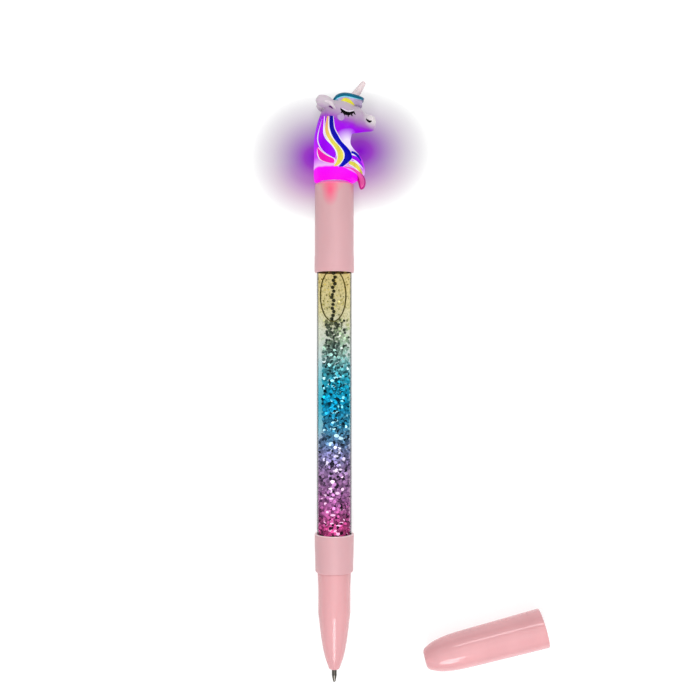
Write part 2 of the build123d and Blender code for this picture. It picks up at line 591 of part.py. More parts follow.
# ---- Cap, lying beside the pen with its mouth turned outwards ----
def make_cap():
    bore_start = CAP_LENGTH - CAP_BORE_LENGTH
    step_start = bore_start - 4 * CAP_BORE_STEP
    nose, inner_nose = (CAP_NOSE_LENGTH, CAP_WAIST_R), (CAP_NOSE_LENGTH, CAP_WAIST_R - CAP_WALL)
    shoulder = (CAP_SHOULDER_PLACE, CAP_WAIST_R - CAP_SHOULDER_DROP)
    inner_shoulder = (CAP_INNER_SHOULDER_PLACE, CAP_WAIST_R - CAP_INNER_SHOULDER_DROP)
    inner_end = (CAP_END_WALL, CAP_INNER_END_R)
    with BuildPart() as cap:
        with BuildSketch(CAP_PLANE):
            with BuildLine():
                Line((0, 0), (0, CAP_END_R))
                Spline((0, CAP_END_R), shoulder, nose, tangents=((0.12, 1), (1, 0.015)))
                Polyline(nose, (CAP_LENGTH - CAP_RIM_LENGTH, CAP_MOUTH_R),
                         (CAP_LENGTH, CAP_MOUTH_R - CAP_RIM), (CAP_LENGTH, CAP_BORE_R),
                         (bore_start, CAP_BORE_R), (step_start, CAP_BORE_R - CAP_BORE_STEP),
                         inner_nose)
                Spline(inner_nose, inner_shoulder, inner_end)
                Polyline(inner_end, (CAP_END_WALL, 0), (0, 0))
            make_face()
        revolve(axis=CAP_AXIS)
    cap.part.label = "cap"
    export_step(cap.part, "parts/cap.step")


make_refill()
make_grip()
make_collar()
make_vial()
make_sleeve()
make_battery_pack()
make_light()
make_mane(make_head())
make_cap()
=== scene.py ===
"""A light-up glitter gel pen, uncapped, lying on a pale surface with its cap beside it."""
import logging
import math
import random
from dataclasses import dataclass, field
from enum import Enum
from functools import cached_property
from typing import Iterator, Sequence

import bpy
import numpy as np
from mathutils import Matrix, Vector


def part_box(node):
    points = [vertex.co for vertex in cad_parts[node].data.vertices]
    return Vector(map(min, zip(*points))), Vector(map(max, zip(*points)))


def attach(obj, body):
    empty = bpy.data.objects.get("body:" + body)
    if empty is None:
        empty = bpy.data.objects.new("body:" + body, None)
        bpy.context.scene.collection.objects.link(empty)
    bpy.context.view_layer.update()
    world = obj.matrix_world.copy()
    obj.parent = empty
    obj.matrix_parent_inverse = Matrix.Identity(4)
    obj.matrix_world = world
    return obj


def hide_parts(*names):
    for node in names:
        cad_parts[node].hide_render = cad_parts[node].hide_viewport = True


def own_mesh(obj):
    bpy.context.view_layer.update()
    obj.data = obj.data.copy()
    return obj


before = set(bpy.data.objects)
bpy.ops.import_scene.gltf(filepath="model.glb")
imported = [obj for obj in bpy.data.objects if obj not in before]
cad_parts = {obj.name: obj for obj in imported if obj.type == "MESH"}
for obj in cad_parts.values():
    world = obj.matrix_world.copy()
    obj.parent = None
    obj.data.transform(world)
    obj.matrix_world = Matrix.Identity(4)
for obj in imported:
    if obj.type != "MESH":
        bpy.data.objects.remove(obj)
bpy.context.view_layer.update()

MM = 0.001
SIDES = 128
WELD = 0.002 * MM
log = logging.getLogger("gel_pen")

Ring = tuple[float, float]
Colour = tuple[float, float, float]
Station = tuple[float, float, float, float]
Flake = tuple[Vector, Vector, float, float, float]
WHITE: Colour = (1.0, 1.0, 1.0)
BLACK: Colour = (0.0, 0.0, 0.0)


def srgb(red: int, green: int, blue: int) -> Colour:
    """Turn a screen colour from 0 to 255 into linear values.

    Args:
        red: the red channel, from 0 to 255.
        green: the green channel.
        blue: the blue channel.

    Returns:
        The three linear channels, from 0 to 1.
    """
    def linear(value: int) -> float:
        """Return one channel as a linear value."""
        share = value / 255
        return share / 12.92 if share <= 0.04045 else ((share + 0.055) / 1.055) ** 2.4
    return linear(red), linear(green), linear(blue)


class Side(Enum):
    """The side of the head that faces up, and the one that faces the table."""

    UPPER = 1
    UNDER = -1


@dataclass(frozen=True)
class PenFrame:
    """Where the pen's pieces lie, in millimetres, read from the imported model."""

    x: float
    z: float
    point: float
    nose: float
    collar_start: float
    collar_end: float
    sleeve_start: float
    sleeve_end: float

    @classmethod
    def read(cls) -> "PenFrame":
        """Read the frame from the boxes of the CAD nodes.

        Returns:
            The places that the pieces are built from.
        """
        def span(node: str, axis: int) -> tuple[float, float]:
            """Return where a node starts and ends along an axis."""
            low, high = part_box(node)
            return low[axis] / MM, high[axis] / MM
        tube_x, tube_z = span("barrel_tube", 0), span("barrel_tube", 2)
        collar, sleeve = span("collar", 1), span("sleeve", 1)
        return cls(x=sum(tube_x) / 2, z=sum(tube_z) / 2, point=span("tip_ball", 1)[0],
                   nose=span("grip", 1)[0], collar_start=collar[0], collar_end=collar[1],
                   sleeve_start=sleeve[0], sleeve_end=sleeve[1])

    def head(self, across: float, height: float, depth: float = 0.0) -> Vector:
        """Return a point of the head, measured from the middle of the sleeve's top."""
        return Vector((self.x + across, self.sleeve_end + height, self.z + depth)) * MM


PEN = PenFrame.read()


# ---- Modelling by hand ----
def deselect() -> None:
    """Leave object mode clean, with nothing selected."""
    if bpy.context.object and bpy.context.object.mode != "OBJECT":
        bpy.ops.object.mode_set(mode="OBJECT")
    bpy.ops.object.select_all(action="DESELECT")


def pick(*pieces: bpy.types.Object) -> None:
    """Select only these pieces, the first of them active.

    Args:
        pieces: the pieces to select.
    """
    deselect()
    for piece in pieces:
        piece.select_set(True)
    bpy.context.view_layer.objects.active = pieces[0]


def named(name: str) -> bpy.types.Object:
    """Name the active object and its mesh, and return it.

    Args:
        name: the name of both.

    Returns:
        The active object.
    """
    piece = bpy.context.object
    piece.name = piece.data.name = name
    return piece


def settle(piece: bpy.types.Object, matrix: Matrix | None = None) -> None:
    """Put the piece's place into its mesh, then move the mesh by a matrix if one is given.

    Args:
        piece: the piece, whose own place becomes the origin.
        matrix: a further move, if any.
    """
    bpy.context.view_layer.update()
    piece.data.transform(piece.matrix_world)
    piece.matrix_world = Matrix.Identity(4)
    if matrix is not None:
        piece.data.transform(matrix)


def outwards(piece: bpy.types.Object) -> None:
    """Merge doubled points and turn every face outwards.

    Args:
        piece: the piece to clean.
    """
    pick(piece)
    bpy.ops.object.mode_set(mode="EDIT")
    bpy.ops.mesh.select_all(action="SELECT")
    bpy.ops.mesh.remove_doubles(threshold=WELD)
    bpy.ops.mesh.normals_make_consistent(inside=False)
    bpy.ops.object.mode_set(mode="OBJECT")


def smooth(piece: bpy.types.Object, degrees: float = 35) -> None:
    """Shade smooth, but keep edges sharper than this angle.

    Args:
        piece: the piece to shade.
        degrees: the angle above which an edge stays sharp.
    """
    pick(piece)
    bpy.ops.object.shade_smooth_by_angle(angle=math.radians(degrees))


def apply(piece: bpy.types.Object, kind: str, **settings: object) -> None:
    """Add a modifier with these settings and apply it.

    Args:
        piece: the piece to change.
        kind: the modifier's type.
        settings: the modifier's own settings, by name.
    """
    pick(piece)
    modifier = piece.modifiers.new(kind.title(), kind)
    for key, value in settings.items():
        setattr(modifier, key, value)
    bpy.ops.object.modifier_apply(modifier=modifier.name)


def copy_of(piece: bpy.types.Object, name: str, matrix: Matrix) -> bpy.types.Object:
    """Copy a piece with its own mesh, moved by a matrix.

    Args:
        piece: the piece to copy.
        name: the copy's name.
        matrix: the move from one to the other.

    Returns:
        The copy, with its faces outwards.
    """
    twin = piece.copy()
    twin.data = piece.data.copy()
    twin.name = twin.data.name = name
    twin.data.transform(matrix)
    bpy.context.scene.collection.objects.link(twin)
    if matrix.determinant() < 0:
        twin.data.flip_normals()
    return twin


def turned(name: str, rings: Sequence[Ring], sides: int = SIDES, bevel: float = 0.0,
           closed: bool = False) -> bpy.types.Object:
    """Turn a round piece about the pen's axis.

    Args:
        name: the piece's name.
        rings: (place, radius) of each ring along the axis, in millimetres.
        sides: points round each ring.
        bevel: width that rounds the sharp rings off, in millimetres.
        closed: whether the last ring runs back to the first, as on a hollow piece.

    Returns:
        The finished piece, along +Y at the pen's own place.
    """
    deselect()
    start, radius = rings[0]
    bpy.ops.mesh.primitive_circle_add(vertices=sides, radius=radius * MM,
                                      rotation=(math.pi / 2, 0, 0),
                                      location=(PEN.x * MM, start * MM, PEN.z * MM))
    piece = named(name)
    settle(piece)
    bpy.ops.object.mode_set(mode="EDIT")
    bpy.ops.mesh.select_all(action="SELECT")
    if not closed and radius > 0:
        bpy.ops.mesh.edge_face_add()
    for place, wide in list(rings[1:]) + ([rings[0]] if closed else []):
        step = (0, (place - start) * MM, 0)
        bpy.ops.mesh.extrude_region_move(TRANSFORM_OT_translate={"value": step})
        share = wide / radius
        bpy.ops.transform.resize(value=(share, share, share),
                                 center_override=(PEN.x * MM, place * MM, PEN.z * MM))
        start, radius = place, wide
    bpy.ops.object.mode_set(mode="OBJECT")
    outwards(piece)
    if bevel:
        apply(piece, "BEVEL", width=bevel * MM, segments=3, limit_method="ANGLE",
              angle_limit=math.radians(28))
    smooth(piece)
    return piece


def through(points: Sequence[tuple[float, ...]], steps: int) -> list[tuple[float, ...]]:
    """Return a smooth row of stations through the given ones (a Catmull-Rom line).

    Args:
        points: the given stations, each a row of measures.
        steps: how many parts each span gets.

    Returns:
        The stations in between and the given ones, in order.
    """
    table = [np.array(p, float) for p in points]
    table = [2 * table[0] - table[1]] + table + [2 * table[-1] - table[-2]]
    row = []
    for a, b, c, d in zip(table, table[1:], table[2:], table[3:]):
        for step in range(steps):
            t = step / steps
            row.append(tuple(0.5 * (2 * b + (c - a) * t + (2 * a - 5 * b + 4 * c - d) * t ** 2
                                    + (3 * b - a - 3 * c + d) * t ** 3)))
    return row + [tuple(table[-2])]


# ---- Finishes ----
class Shader:
    """A material's node tree, built up node by node."""

    def __init__(self, name: str) -> None:
        """Start a material with its principled shader.

        Args:
            name: the material's name.
        """
        self.material = bpy.data.materials.new(name)
        self.material.use_nodes = True
        self.tree = self.material.node_tree
        self.bsdf = self.tree.nodes["Principled BSDF"]
        self.here = self.tree.nodes.new("ShaderNodeTexCoord").outputs["Object"]

    def set(self, **values: object) -> "Shader":
        """Set constants on the shader's own sockets, named with underscores.

        Args:
            values: a value for each socket.

        Returns:
            The shader itself.
        """
        for key, value in values.items():
            self.bsdf.inputs[key.replace("_", " ")].default_value = value
        return self

    def link(self, source: bpy.types.NodeSocket, target: bpy.types.NodeSocket | str) -> None:
        """Join two sockets; a name is one of the shader's own."""
        own = isinstance(target, str)
        self.tree.links.new(source, self.bsdf.inputs[target] if own else target)

    def node(self, kind: str, **inputs: object) -> bpy.types.Node:
        """Add a node, giving each named input a value or a socket.

        Args:
            kind: the node's type, without its common prefix.
            inputs: a value or a socket for each input.

        Returns:
            The node.
        """
        node = self.tree.nodes.new("ShaderNode" + kind)
        for key, value in inputs.items():
            target = node.inputs[key.replace("_", " ")]
            if isinstance(value, bpy.types.NodeSocket):
                self.tree.links.new(value, target)
            else:
                target.default_value = value
        return node

    def math(self, operation: str, first: object, second: object = 0.0) -> bpy.types.NodeSocket:
        """Return the result of a sum on two sockets or numbers.

        Args:
            operation: the kind of sum.
            first: the first socket or number.
            second: the second one.

        Returns:
            The socket that holds the result.
        """
        node = self.tree.nodes.new("ShaderNodeMath")
        node.operation = operation
        for target, value in zip(node.inputs, (first, second)):
            if isinstance(value, bpy.types.NodeSocket):
                self.tree.links.new(value, target)
            else:
                target.default_value = value
        return node.outputs[0]

    def along(self, axis: int, start: float, end: float) -> bpy.types.NodeSocket:
        """Return how far a point lies from start to end along an axis, from 0 to 1.

        Args:
            axis: 0, 1 or 2 for x, y or z.
            start: where the share is 0, in metres.
            end: where it is 1, in metres.

        Returns:
            The socket that holds the share.
        """
        parts = self.node("SeparateXYZ", Vector=self.here)
        return self.node("MapRange", Value=parts.outputs[axis], From_Min=start,
                         From_Max=end).outputs["Result"]

    def near(self, centre: Vector, reach: Vector) -> bpy.types.NodeSocket:
        """Return a soft spot: 1 at its centre, 0 outside an ellipsoid round it.

        Args:
            centre: the middle of the spot.
            reach: the ellipsoid's half sizes.

        Returns:
            The socket that holds the strength.
        """
        moved = self.node("Mapping", Vector=self.here)
        moved.vector_type = "TEXTURE"
        moved.inputs["Location"].default_value = centre
        moved.inputs["Scale"].default_value = reach
        spot = self.node("TexGradient", Vector=moved.outputs[0])
        spot.gradient_type = "SPHERICAL"
        return spot.outputs["Fac"]

    def ramp(self, factor: bpy.types.NodeSocket, stops: Sequence[tuple[float, Colour]],
             mode: str = "LINEAR") -> bpy.types.NodeSocket:
        """Return a colour that follows the factor through its stops.

        Args:
            factor: what the colour follows, from 0 to 1.
            stops: the place and colour of each stop.
            mode: how the ramp runs from stop to stop.

        Returns:
            The socket that holds the colour.
        """
        node = self.node("ValToRGB", Fac=factor)
        node.color_ramp.interpolation = mode
        elements = node.color_ramp.elements
        while len(elements) < len(stops):
            elements.new(0.5)
        for element, (place, colour) in zip(elements, sorted(stops, key=lambda s: s[0])):
            element.position, element.color = place, (*colour, 1)
        return node.outputs["Color"]

    def mix(self, factor: object, first: object, second: object, kind: str = "MIX"
            ) -> bpy.types.NodeSocket:
        """Return a mix of two colours.

        Args:
            factor: the share of the second colour.
            first: the first colour or its socket.
            second: the second colour or its socket.
            kind: how the two are put together.

        Returns:
            The socket that holds the mix.
        """
        node = self.tree.nodes.new("ShaderNodeMix")
        node.data_type, node.blend_type = "RGBA", kind
        for place, value in ((0, factor), (6, first), (7, second)):
            if isinstance(value, bpy.types.NodeSocket):
                self.tree.links.new(value, node.inputs[place])
            elif place:
                node.inputs[place].default_value = (*value, 1)
            else:
                node.inputs[place].default_value = value
        return node.outputs[2]

    def noise(self, scale: float, detail: float = 3.0, stretch: Vector = Vector((1, 1, 1))
              ) -> bpy.types.NodeSocket:
        """Return noise with about this many features to a metre.

        Args:
            scale: how many features there are to a metre.
            detail: how many finer layers it has.
            stretch: how much closer its features lie along each axis.

        Returns:
            The socket that holds the noise.
        """
        moved = self.node("Mapping", Vector=self.here, Scale=stretch)
        return self.node("TexNoise", Vector=moved.outputs[0], Scale=scale, Detail=detail).outputs[0]

    def bump(self, height: bpy.types.NodeSocket, strength: float, depth: float) -> None:
        """Raise the surface by a height, depth millimetres deep."""
        node = self.node("Bump", Height=height, Strength=strength, Distance=depth * MM)
        self.link(node.outputs[0], "Normal")


@dataclass(frozen=True)
class Moulded:
    """Moulded plastic: faint flow marks, a fine skin, and gloss that varies a little."""

    name: str
    colour: Colour
    roughness: float = 0.3
    skin: float = 0.15
    subsurface: float = 0.12
    specular: float = 0.4

    def shader(self) -> Shader:
        """Build the shader.

        Returns:
            The shader, for a finish that adds to it.
        """
        s = Shader(self.name)
        s.set(Subsurface_Weight=self.subsurface, Subsurface_Radius=(1.0, 0.45, 0.4),
              Subsurface_Scale=0.0012, IOR=1.48, Specular_IOR_Level=self.specular)
        flow = s.noise(70, 4, Vector((1, 0.3, 1)))
        darker = tuple(channel * 0.93 for channel in self.colour)
        lighter = tuple(min(1.0, channel * 1.05) for channel in self.colour)
        s.link(s.ramp(flow, [(0.35, darker), (0.65, lighter)]), "Base Color")
        gloss = s.node("MapRange", Value=s.noise(400, 2), To_Min=self.roughness * 0.8,
                       To_Max=self.roughness * 1.25)
        s.link(gloss.outputs["Result"], "Roughness")
        s.bump(s.noise(2600, 2), self.skin, 0.01)
        return s

    def material(self) -> bpy.types.Material:
        """Return the finished material."""
        return self.shader().material


@dataclass(frozen=True)
class Metal:
    """Turned or drawn metal with fine marks along one direction."""

    name: str
    colour: Colour
    roughness: float = 0.25
    marks: Vector = field(default_factory=lambda: Vector((1, 12, 1)))

    def material(self) -> bpy.types.Material:
        """Build the material, with marks in its colour, its gloss and its surface.

        Returns:
            The finished material.
        """
        s = Shader(self.name).set(Metallic=1.0)
        lines = s.noise(900, 3, self.marks)
        darker = tuple(channel * 0.75 for channel in self.colour)
        s.link(s.ramp(lines, [(0.3, darker), (0.7, self.colour)]), "Base Color")
        rough = s.node("MapRange", Value=lines, To_Min=self.roughness - 0.08,
                       To_Max=self.roughness + 0.1)
        s.link(rough.outputs["Result"], "Roughness")
        s.bump(lines, 0.2, 0.01)
        return s.material


@dataclass(frozen=True)
class Painted:
    """Painted relief on the head: brushed enamel, lit a little from below."""

    name: str
    colour: Colour
    glow: float = 0.25
    upper: Colour | None = None
    turn_at: tuple[float, float] = (12.0, 18.0)

    def material(self) -> bpy.types.Material:
        """Build the material, with one colour or with a second one further up.

        Returns:
            The finished material.
        """
        s = Shader(self.name).set(Roughness=0.38, Emission_Strength=self.glow,
                                  Specular_IOR_Level=0.08)
        strokes = s.noise(500, 4, Vector((1, 0.25, 1)))
        tone = self.brushed(s, strokes, self.colour)
        if self.upper:
            way = s.along(1, PEN.head(0, self.turn_at[0]).y, PEN.head(0, self.turn_at[1]).y)
            tone = s.mix(way, tone, self.brushed(s, strokes, self.upper))
        s.link(s.mix(1.0, tone, tuple([1.0 - self.glow] * 3), "MULTIPLY"), "Base Color")
        s.link(tone, "Emission Color")
        s.bump(strokes, 0.25, 0.03)
        return s.material

    @staticmethod
    def brushed(s: Shader, strokes: bpy.types.NodeSocket, colour: Colour) -> bpy.types.NodeSocket:
        """Return a colour with faint brush strokes in it.

        Args:
            s: the shader that the colour is for.
            strokes: the noise that the strokes follow.
            colour: the colour of the paint.

        Returns:
            The socket that holds the colour.
        """
        darker = tuple(channel * 0.8 for channel in colour)
        lighter = tuple(min(1.0, channel * 1.1) for channel in colour)
        return s.ramp(strokes, [(0.3, darker), (0.68, lighter)])


def dress(piece: bpy.types.Object, material: bpy.types.Material) -> None:
    """Give a piece one material, in its first slot.

    Args:
        piece: the piece to dress.
        material: its material.
    """
    if piece.data.materials:
        piece.data.materials[0] = material
    else:
        piece.data.materials.append(material)


def place(piece: bpy.types.Object, body: str, slot: str, nodes: Sequence[str] = ()) -> None:
    """Hand a finished piece to its body and hide the CAD nodes that it stands for.

    Args:
        piece: the finished piece.
        body: the body that it moves with.
        slot: the record's material slot; not used.
        nodes: the CAD nodes that it replaces, if any.
    """
    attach(piece, body)
    if nodes:
        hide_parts(*nodes)
    log.info("%s rides on %s with %d faces", piece.name, body, len(piece.data.polygons))


FITTING = srgb(221, 172, 177)
WARM_PINK = srgb(229, 170, 174)
BALL_END_R = 0.835
REFILL_HOLE_R = 1.3


@dataclass
class Grip:
    """The tapered grip, with a rounded nose, and the refill's metal tip."""

    nose_r: float = 1.7
    body_r: float = 5.0
    back_r: float = 5.2
    taper: float = 17.5
    flat: float = 7.5
    spigot_r: float = 4.3
    spigot: float = 5.2
    bore_r: float = 2.1
    bore_start: float = 5.5
    tip_seat: float = 2.1

    def rings(self) -> list[Ring]:
        """Return the outline from the nose to the back, then down the bore.

        Returns:
            The place and radius of each ring.
        """
        start = PEN.nose
        swell = self.body_r - self.nose_r
        stations = [(start + 0.25, self.nose_r),
                    (start + 0.26 * self.taper, self.nose_r + 0.425 * swell),
                    (start + 0.58 * self.taper, self.nose_r + 0.735 * swell),
                    (start + self.taper, self.body_r)]
        outline = [(start, self.nose_r - 0.25)] + through(stations, 8)
        back = PEN.collar_start - 0.03
        outline += [(start + self.taper + self.flat, self.body_r), (back, self.back_r)]
        outline += [(back, self.spigot_r), (back + self.spigot, self.spigot_r),
                    (back + self.spigot, self.bore_r)]
        return outline + [(start + self.bore_start, self.bore_r),
                          (start + self.bore_start, REFILL_HOLE_R),
                          (start + self.tip_seat, REFILL_HOLE_R),
                          (start + self.tip_seat, BALL_END_R), (start, BALL_END_R)]

    def build(self) -> None:
        """Model and dress the grip."""
        shell = turned("grip_shell", self.rings(), bevel=0.12, closed=True)
        gloss = Moulded("warm pink gloss", WARM_PINK, roughness=0.14, skin=0.08)
        dress(shell, gloss.material())
        place(shell, "grip", "grip_pink", ["grip"])


@dataclass
class Fittings:
    """The collar below the clear barrel and the sleeve above it."""

    rim_r: float = 6.15
    front_r: float = 5.85
    wall_r: float = 5.4
    top_r: float = 6.0
    lip_r: float = 4.7
    holder_r: float = 5.15
    plug_hole_r: float = 1.2
    socket_r: float = 4.35
    web: float = 1.1
    barrel_seat: tuple[float, float] = (5.0, 6.2)

    def collar(self) -> bpy.types.Object:
        """Model the collar.

        Returns:
            The collar, with the barrel's seat above its web and the grip's socket below.
        """
        start, end = PEN.collar_start, PEN.collar_end
        web = end - self.barrel_seat[0]
        rings = [(start, self.front_r - 0.2), (start + 0.3, self.front_r),
                 (end - 0.9, self.rim_r - 0.05), (end - 0.35, self.rim_r),
                 (end, self.rim_r - 0.12), (end, self.wall_r),
                 (web, self.wall_r), (web, self.plug_hole_r), (web - self.web, self.plug_hole_r),
                 (web - self.web, self.socket_r), (start, self.socket_r)]
        return turned("collar_ring", rings, bevel=0.08, closed=True)

    def sleeve(self) -> bpy.types.Object:
        """Model the sleeve, flared a little over the end of the barrel.

        Returns:
            The sleeve, with the barrel's seat at its foot and a lip at its top.
        """
        start, end = PEN.sleeve_start, PEN.sleeve_end
        seat = start + self.barrel_seat[1]
        rings = [(start, self.rim_r - 0.15), (start + 0.5, self.rim_r),
                 (start + 5.0, self.rim_r - 0.06), (start + 5.3, self.top_r),
                 (end - 0.3, self.top_r), (end, self.top_r - 0.25),
                 (end, self.lip_r), (end - 1, self.lip_r), (end - 1, self.holder_r),
                 (seat, self.holder_r), (seat, self.wall_r), (start, self.wall_r)]
        return turned("sleeve_shell", rings, bevel=0.08, closed=True)

    def build(self) -> None:
        """Model and dress both fittings."""
        collar = self.collar()
        satin = Moulded("pale pink satin", FITTING, roughness=0.38, skin=0.25).shader()
        base = satin.bsdf.inputs["Base Color"].links[0].from_socket
        # Painted highlight: the collar is made lighter over its last fraction of a millimetre at
        # the barrel end, as if its rim caught the light.
        rim = satin.along(1, (PEN.collar_end - 0.3) * MM, (PEN.collar_end - 0.05) * MM)
        satin.link(satin.mix(rim, base, srgb(250, 222, 224)), "Base Color")
        dress(collar, satin.material)
        place(collar, "barrel", "fitting_pink", ["collar"])
        sleeve = self.sleeve()
        dress(sleeve, self.lit_plastic())
        place(sleeve, "barrel", "fitting_pink", ["sleeve"])

    def lit_plastic(self) -> bpy.types.Material:
        """Return the sleeve's plastic, with the light's glow coming through its top.

        Returns:
            The finished material.
        """
        s = Moulded("lit pink satin", FITTING, roughness=0.38, skin=0.25).shader()
        base = s.bsdf.inputs["Base Color"].links[0].from_socket
        spot = s.near(PEN.head(-1.1, -2.6, 5.0), Vector((2.8, 5.2, 9.0)) * MM)
        wide = s.near(PEN.head(-0.9, 0.6, 5.0), Vector((4.6, 4.6, 9.0)) * MM)
        rim = s.along(1, (PEN.sleeve_end - 0.8) * MM, PEN.sleeve_end * MM)
        warm = s.mix(spot, s.mix(wide, base, srgb(240, 120, 138)), srgb(236, 80, 124))
        s.link(s.mix(rim, warm, srgb(250, 120, 180)), "Base Color")
        s.link(s.ramp(spot, [(0.0, BLACK), (1.0, srgb(240, 50, 110))]), "Emission Color")
        s.set(Emission_Strength=0.15)
        return s.material


@dataclass
class Cap:
    """The push-on cap: a bullet with a small flat end, open at its mouth."""

    length: float = 38.1
    mouth_r: float = 6.1
    waist_r: float = 5.62
    nose: float = 12.4
    wall: float = 0.75
    bore_r: float = 5.25
    bore: float = 12.0
    turn: float = 14.8
    shift: tuple[float, float] = (28.1, 7.0)

    def rings(self) -> list[Ring]:
        """Return the outline from the closed end out to the mouth and back inside.

        Returns:
            The place and radius of each ring, from the closed end.
        """
        outside = through([(0.0, 2.1), (0.45, 3.05), (1.55, 3.72), (3.1, 4.37), (4.65, 4.82),
                           (7.75, 5.32), (self.nose, self.waist_r), (24.0, 5.82),
                           (self.length - 0.4, self.mouth_r - 0.02)], 4)
        inside = [(self.length, self.bore_r), (self.length - self.bore, self.bore_r),
                  (self.length - self.bore - 1, self.bore_r - 0.25),
                  (self.nose, self.waist_r - self.wall), (8.0, 4.55), (5.0, 3.9), (2.8, 3.0),
                  (2.1, 2.2)]
        return outside + [(self.length, self.mouth_r - 0.12)] + inside + [(2.1, 0.01)]

    def build(self) -> None:
        """Model the cap along the pen's axis, lay it in its place, and dress it."""
        rings = [(PEN.point + along, radius) for along, radius in self.rings()]
        shell = turned("cap_shell", rings, bevel=0.06)
        middle = Vector((PEN.x, PEN.point, PEN.z)) * MM
        across, along = self.shift
        goal = Vector((PEN.x + across, PEN.point + along, self.mouth_r)) * MM
        turn = Matrix.Rotation(math.radians(self.turn - 90), 4, "Z")
        shell.data.transform(Matrix.Translation(goal) @ turn @ Matrix.Translation(-middle))
        gloss = Moulded("warm pink cap gloss", WARM_PINK, roughness=0.11, skin=0.06)
        dress(shell, gloss.material())
        place(shell, "cap", "cap_pink", ["cap"])


class Band(Enum):
    """The liquid's bands from its lower end up.

    Each holds its place as a share of the liquid's length, its foil's colour, and the tint
    of the clear liquid there.
    """

    ROSE = (0.04, srgb(206, 106, 160), srgb(230, 156, 204))
    ORCHID = (0.14, srgb(182, 142, 184), srgb(220, 158, 204))
    MAUVE = (0.23, srgb(192, 170, 202), srgb(196, 160, 196))
    HEATHER = (0.315, srgb(164, 172, 202), srgb(182, 176, 212))
    SLATE = (0.40, srgb(96, 146, 172), srgb(150, 216, 232))
    AZURE = (0.487, srgb(30, 174, 202), srgb(70, 194, 220))
    CYAN = (0.576, srgb(60, 186, 206), srgb(128, 216, 230))
    TEAL = (0.662, srgb(164, 194, 186), srgb(222, 242, 240))
    SAGE = (0.749, srgb(190, 208, 180), srgb(238, 243, 224))
    OLIVE = (0.836, srgb(206, 202, 152), srgb(244, 232, 178))
    HONEY = (0.964, srgb(222, 204, 132), srgb(245, 224, 156))

    @classmethod
    def foil(cls) -> list[tuple[float, Colour]]:
        """Return the flakes' colours as ramp stops."""
        return [(band.value[0], band.value[1]) for band in cls]

    @classmethod
    def tint(cls) -> list[tuple[float, Colour]]:
        """Return the liquid's colour for light that passes one of its two sides."""
        return [(band.value[0], tuple(channel ** 0.5 for channel in band.value[2]))
                for band in cls]


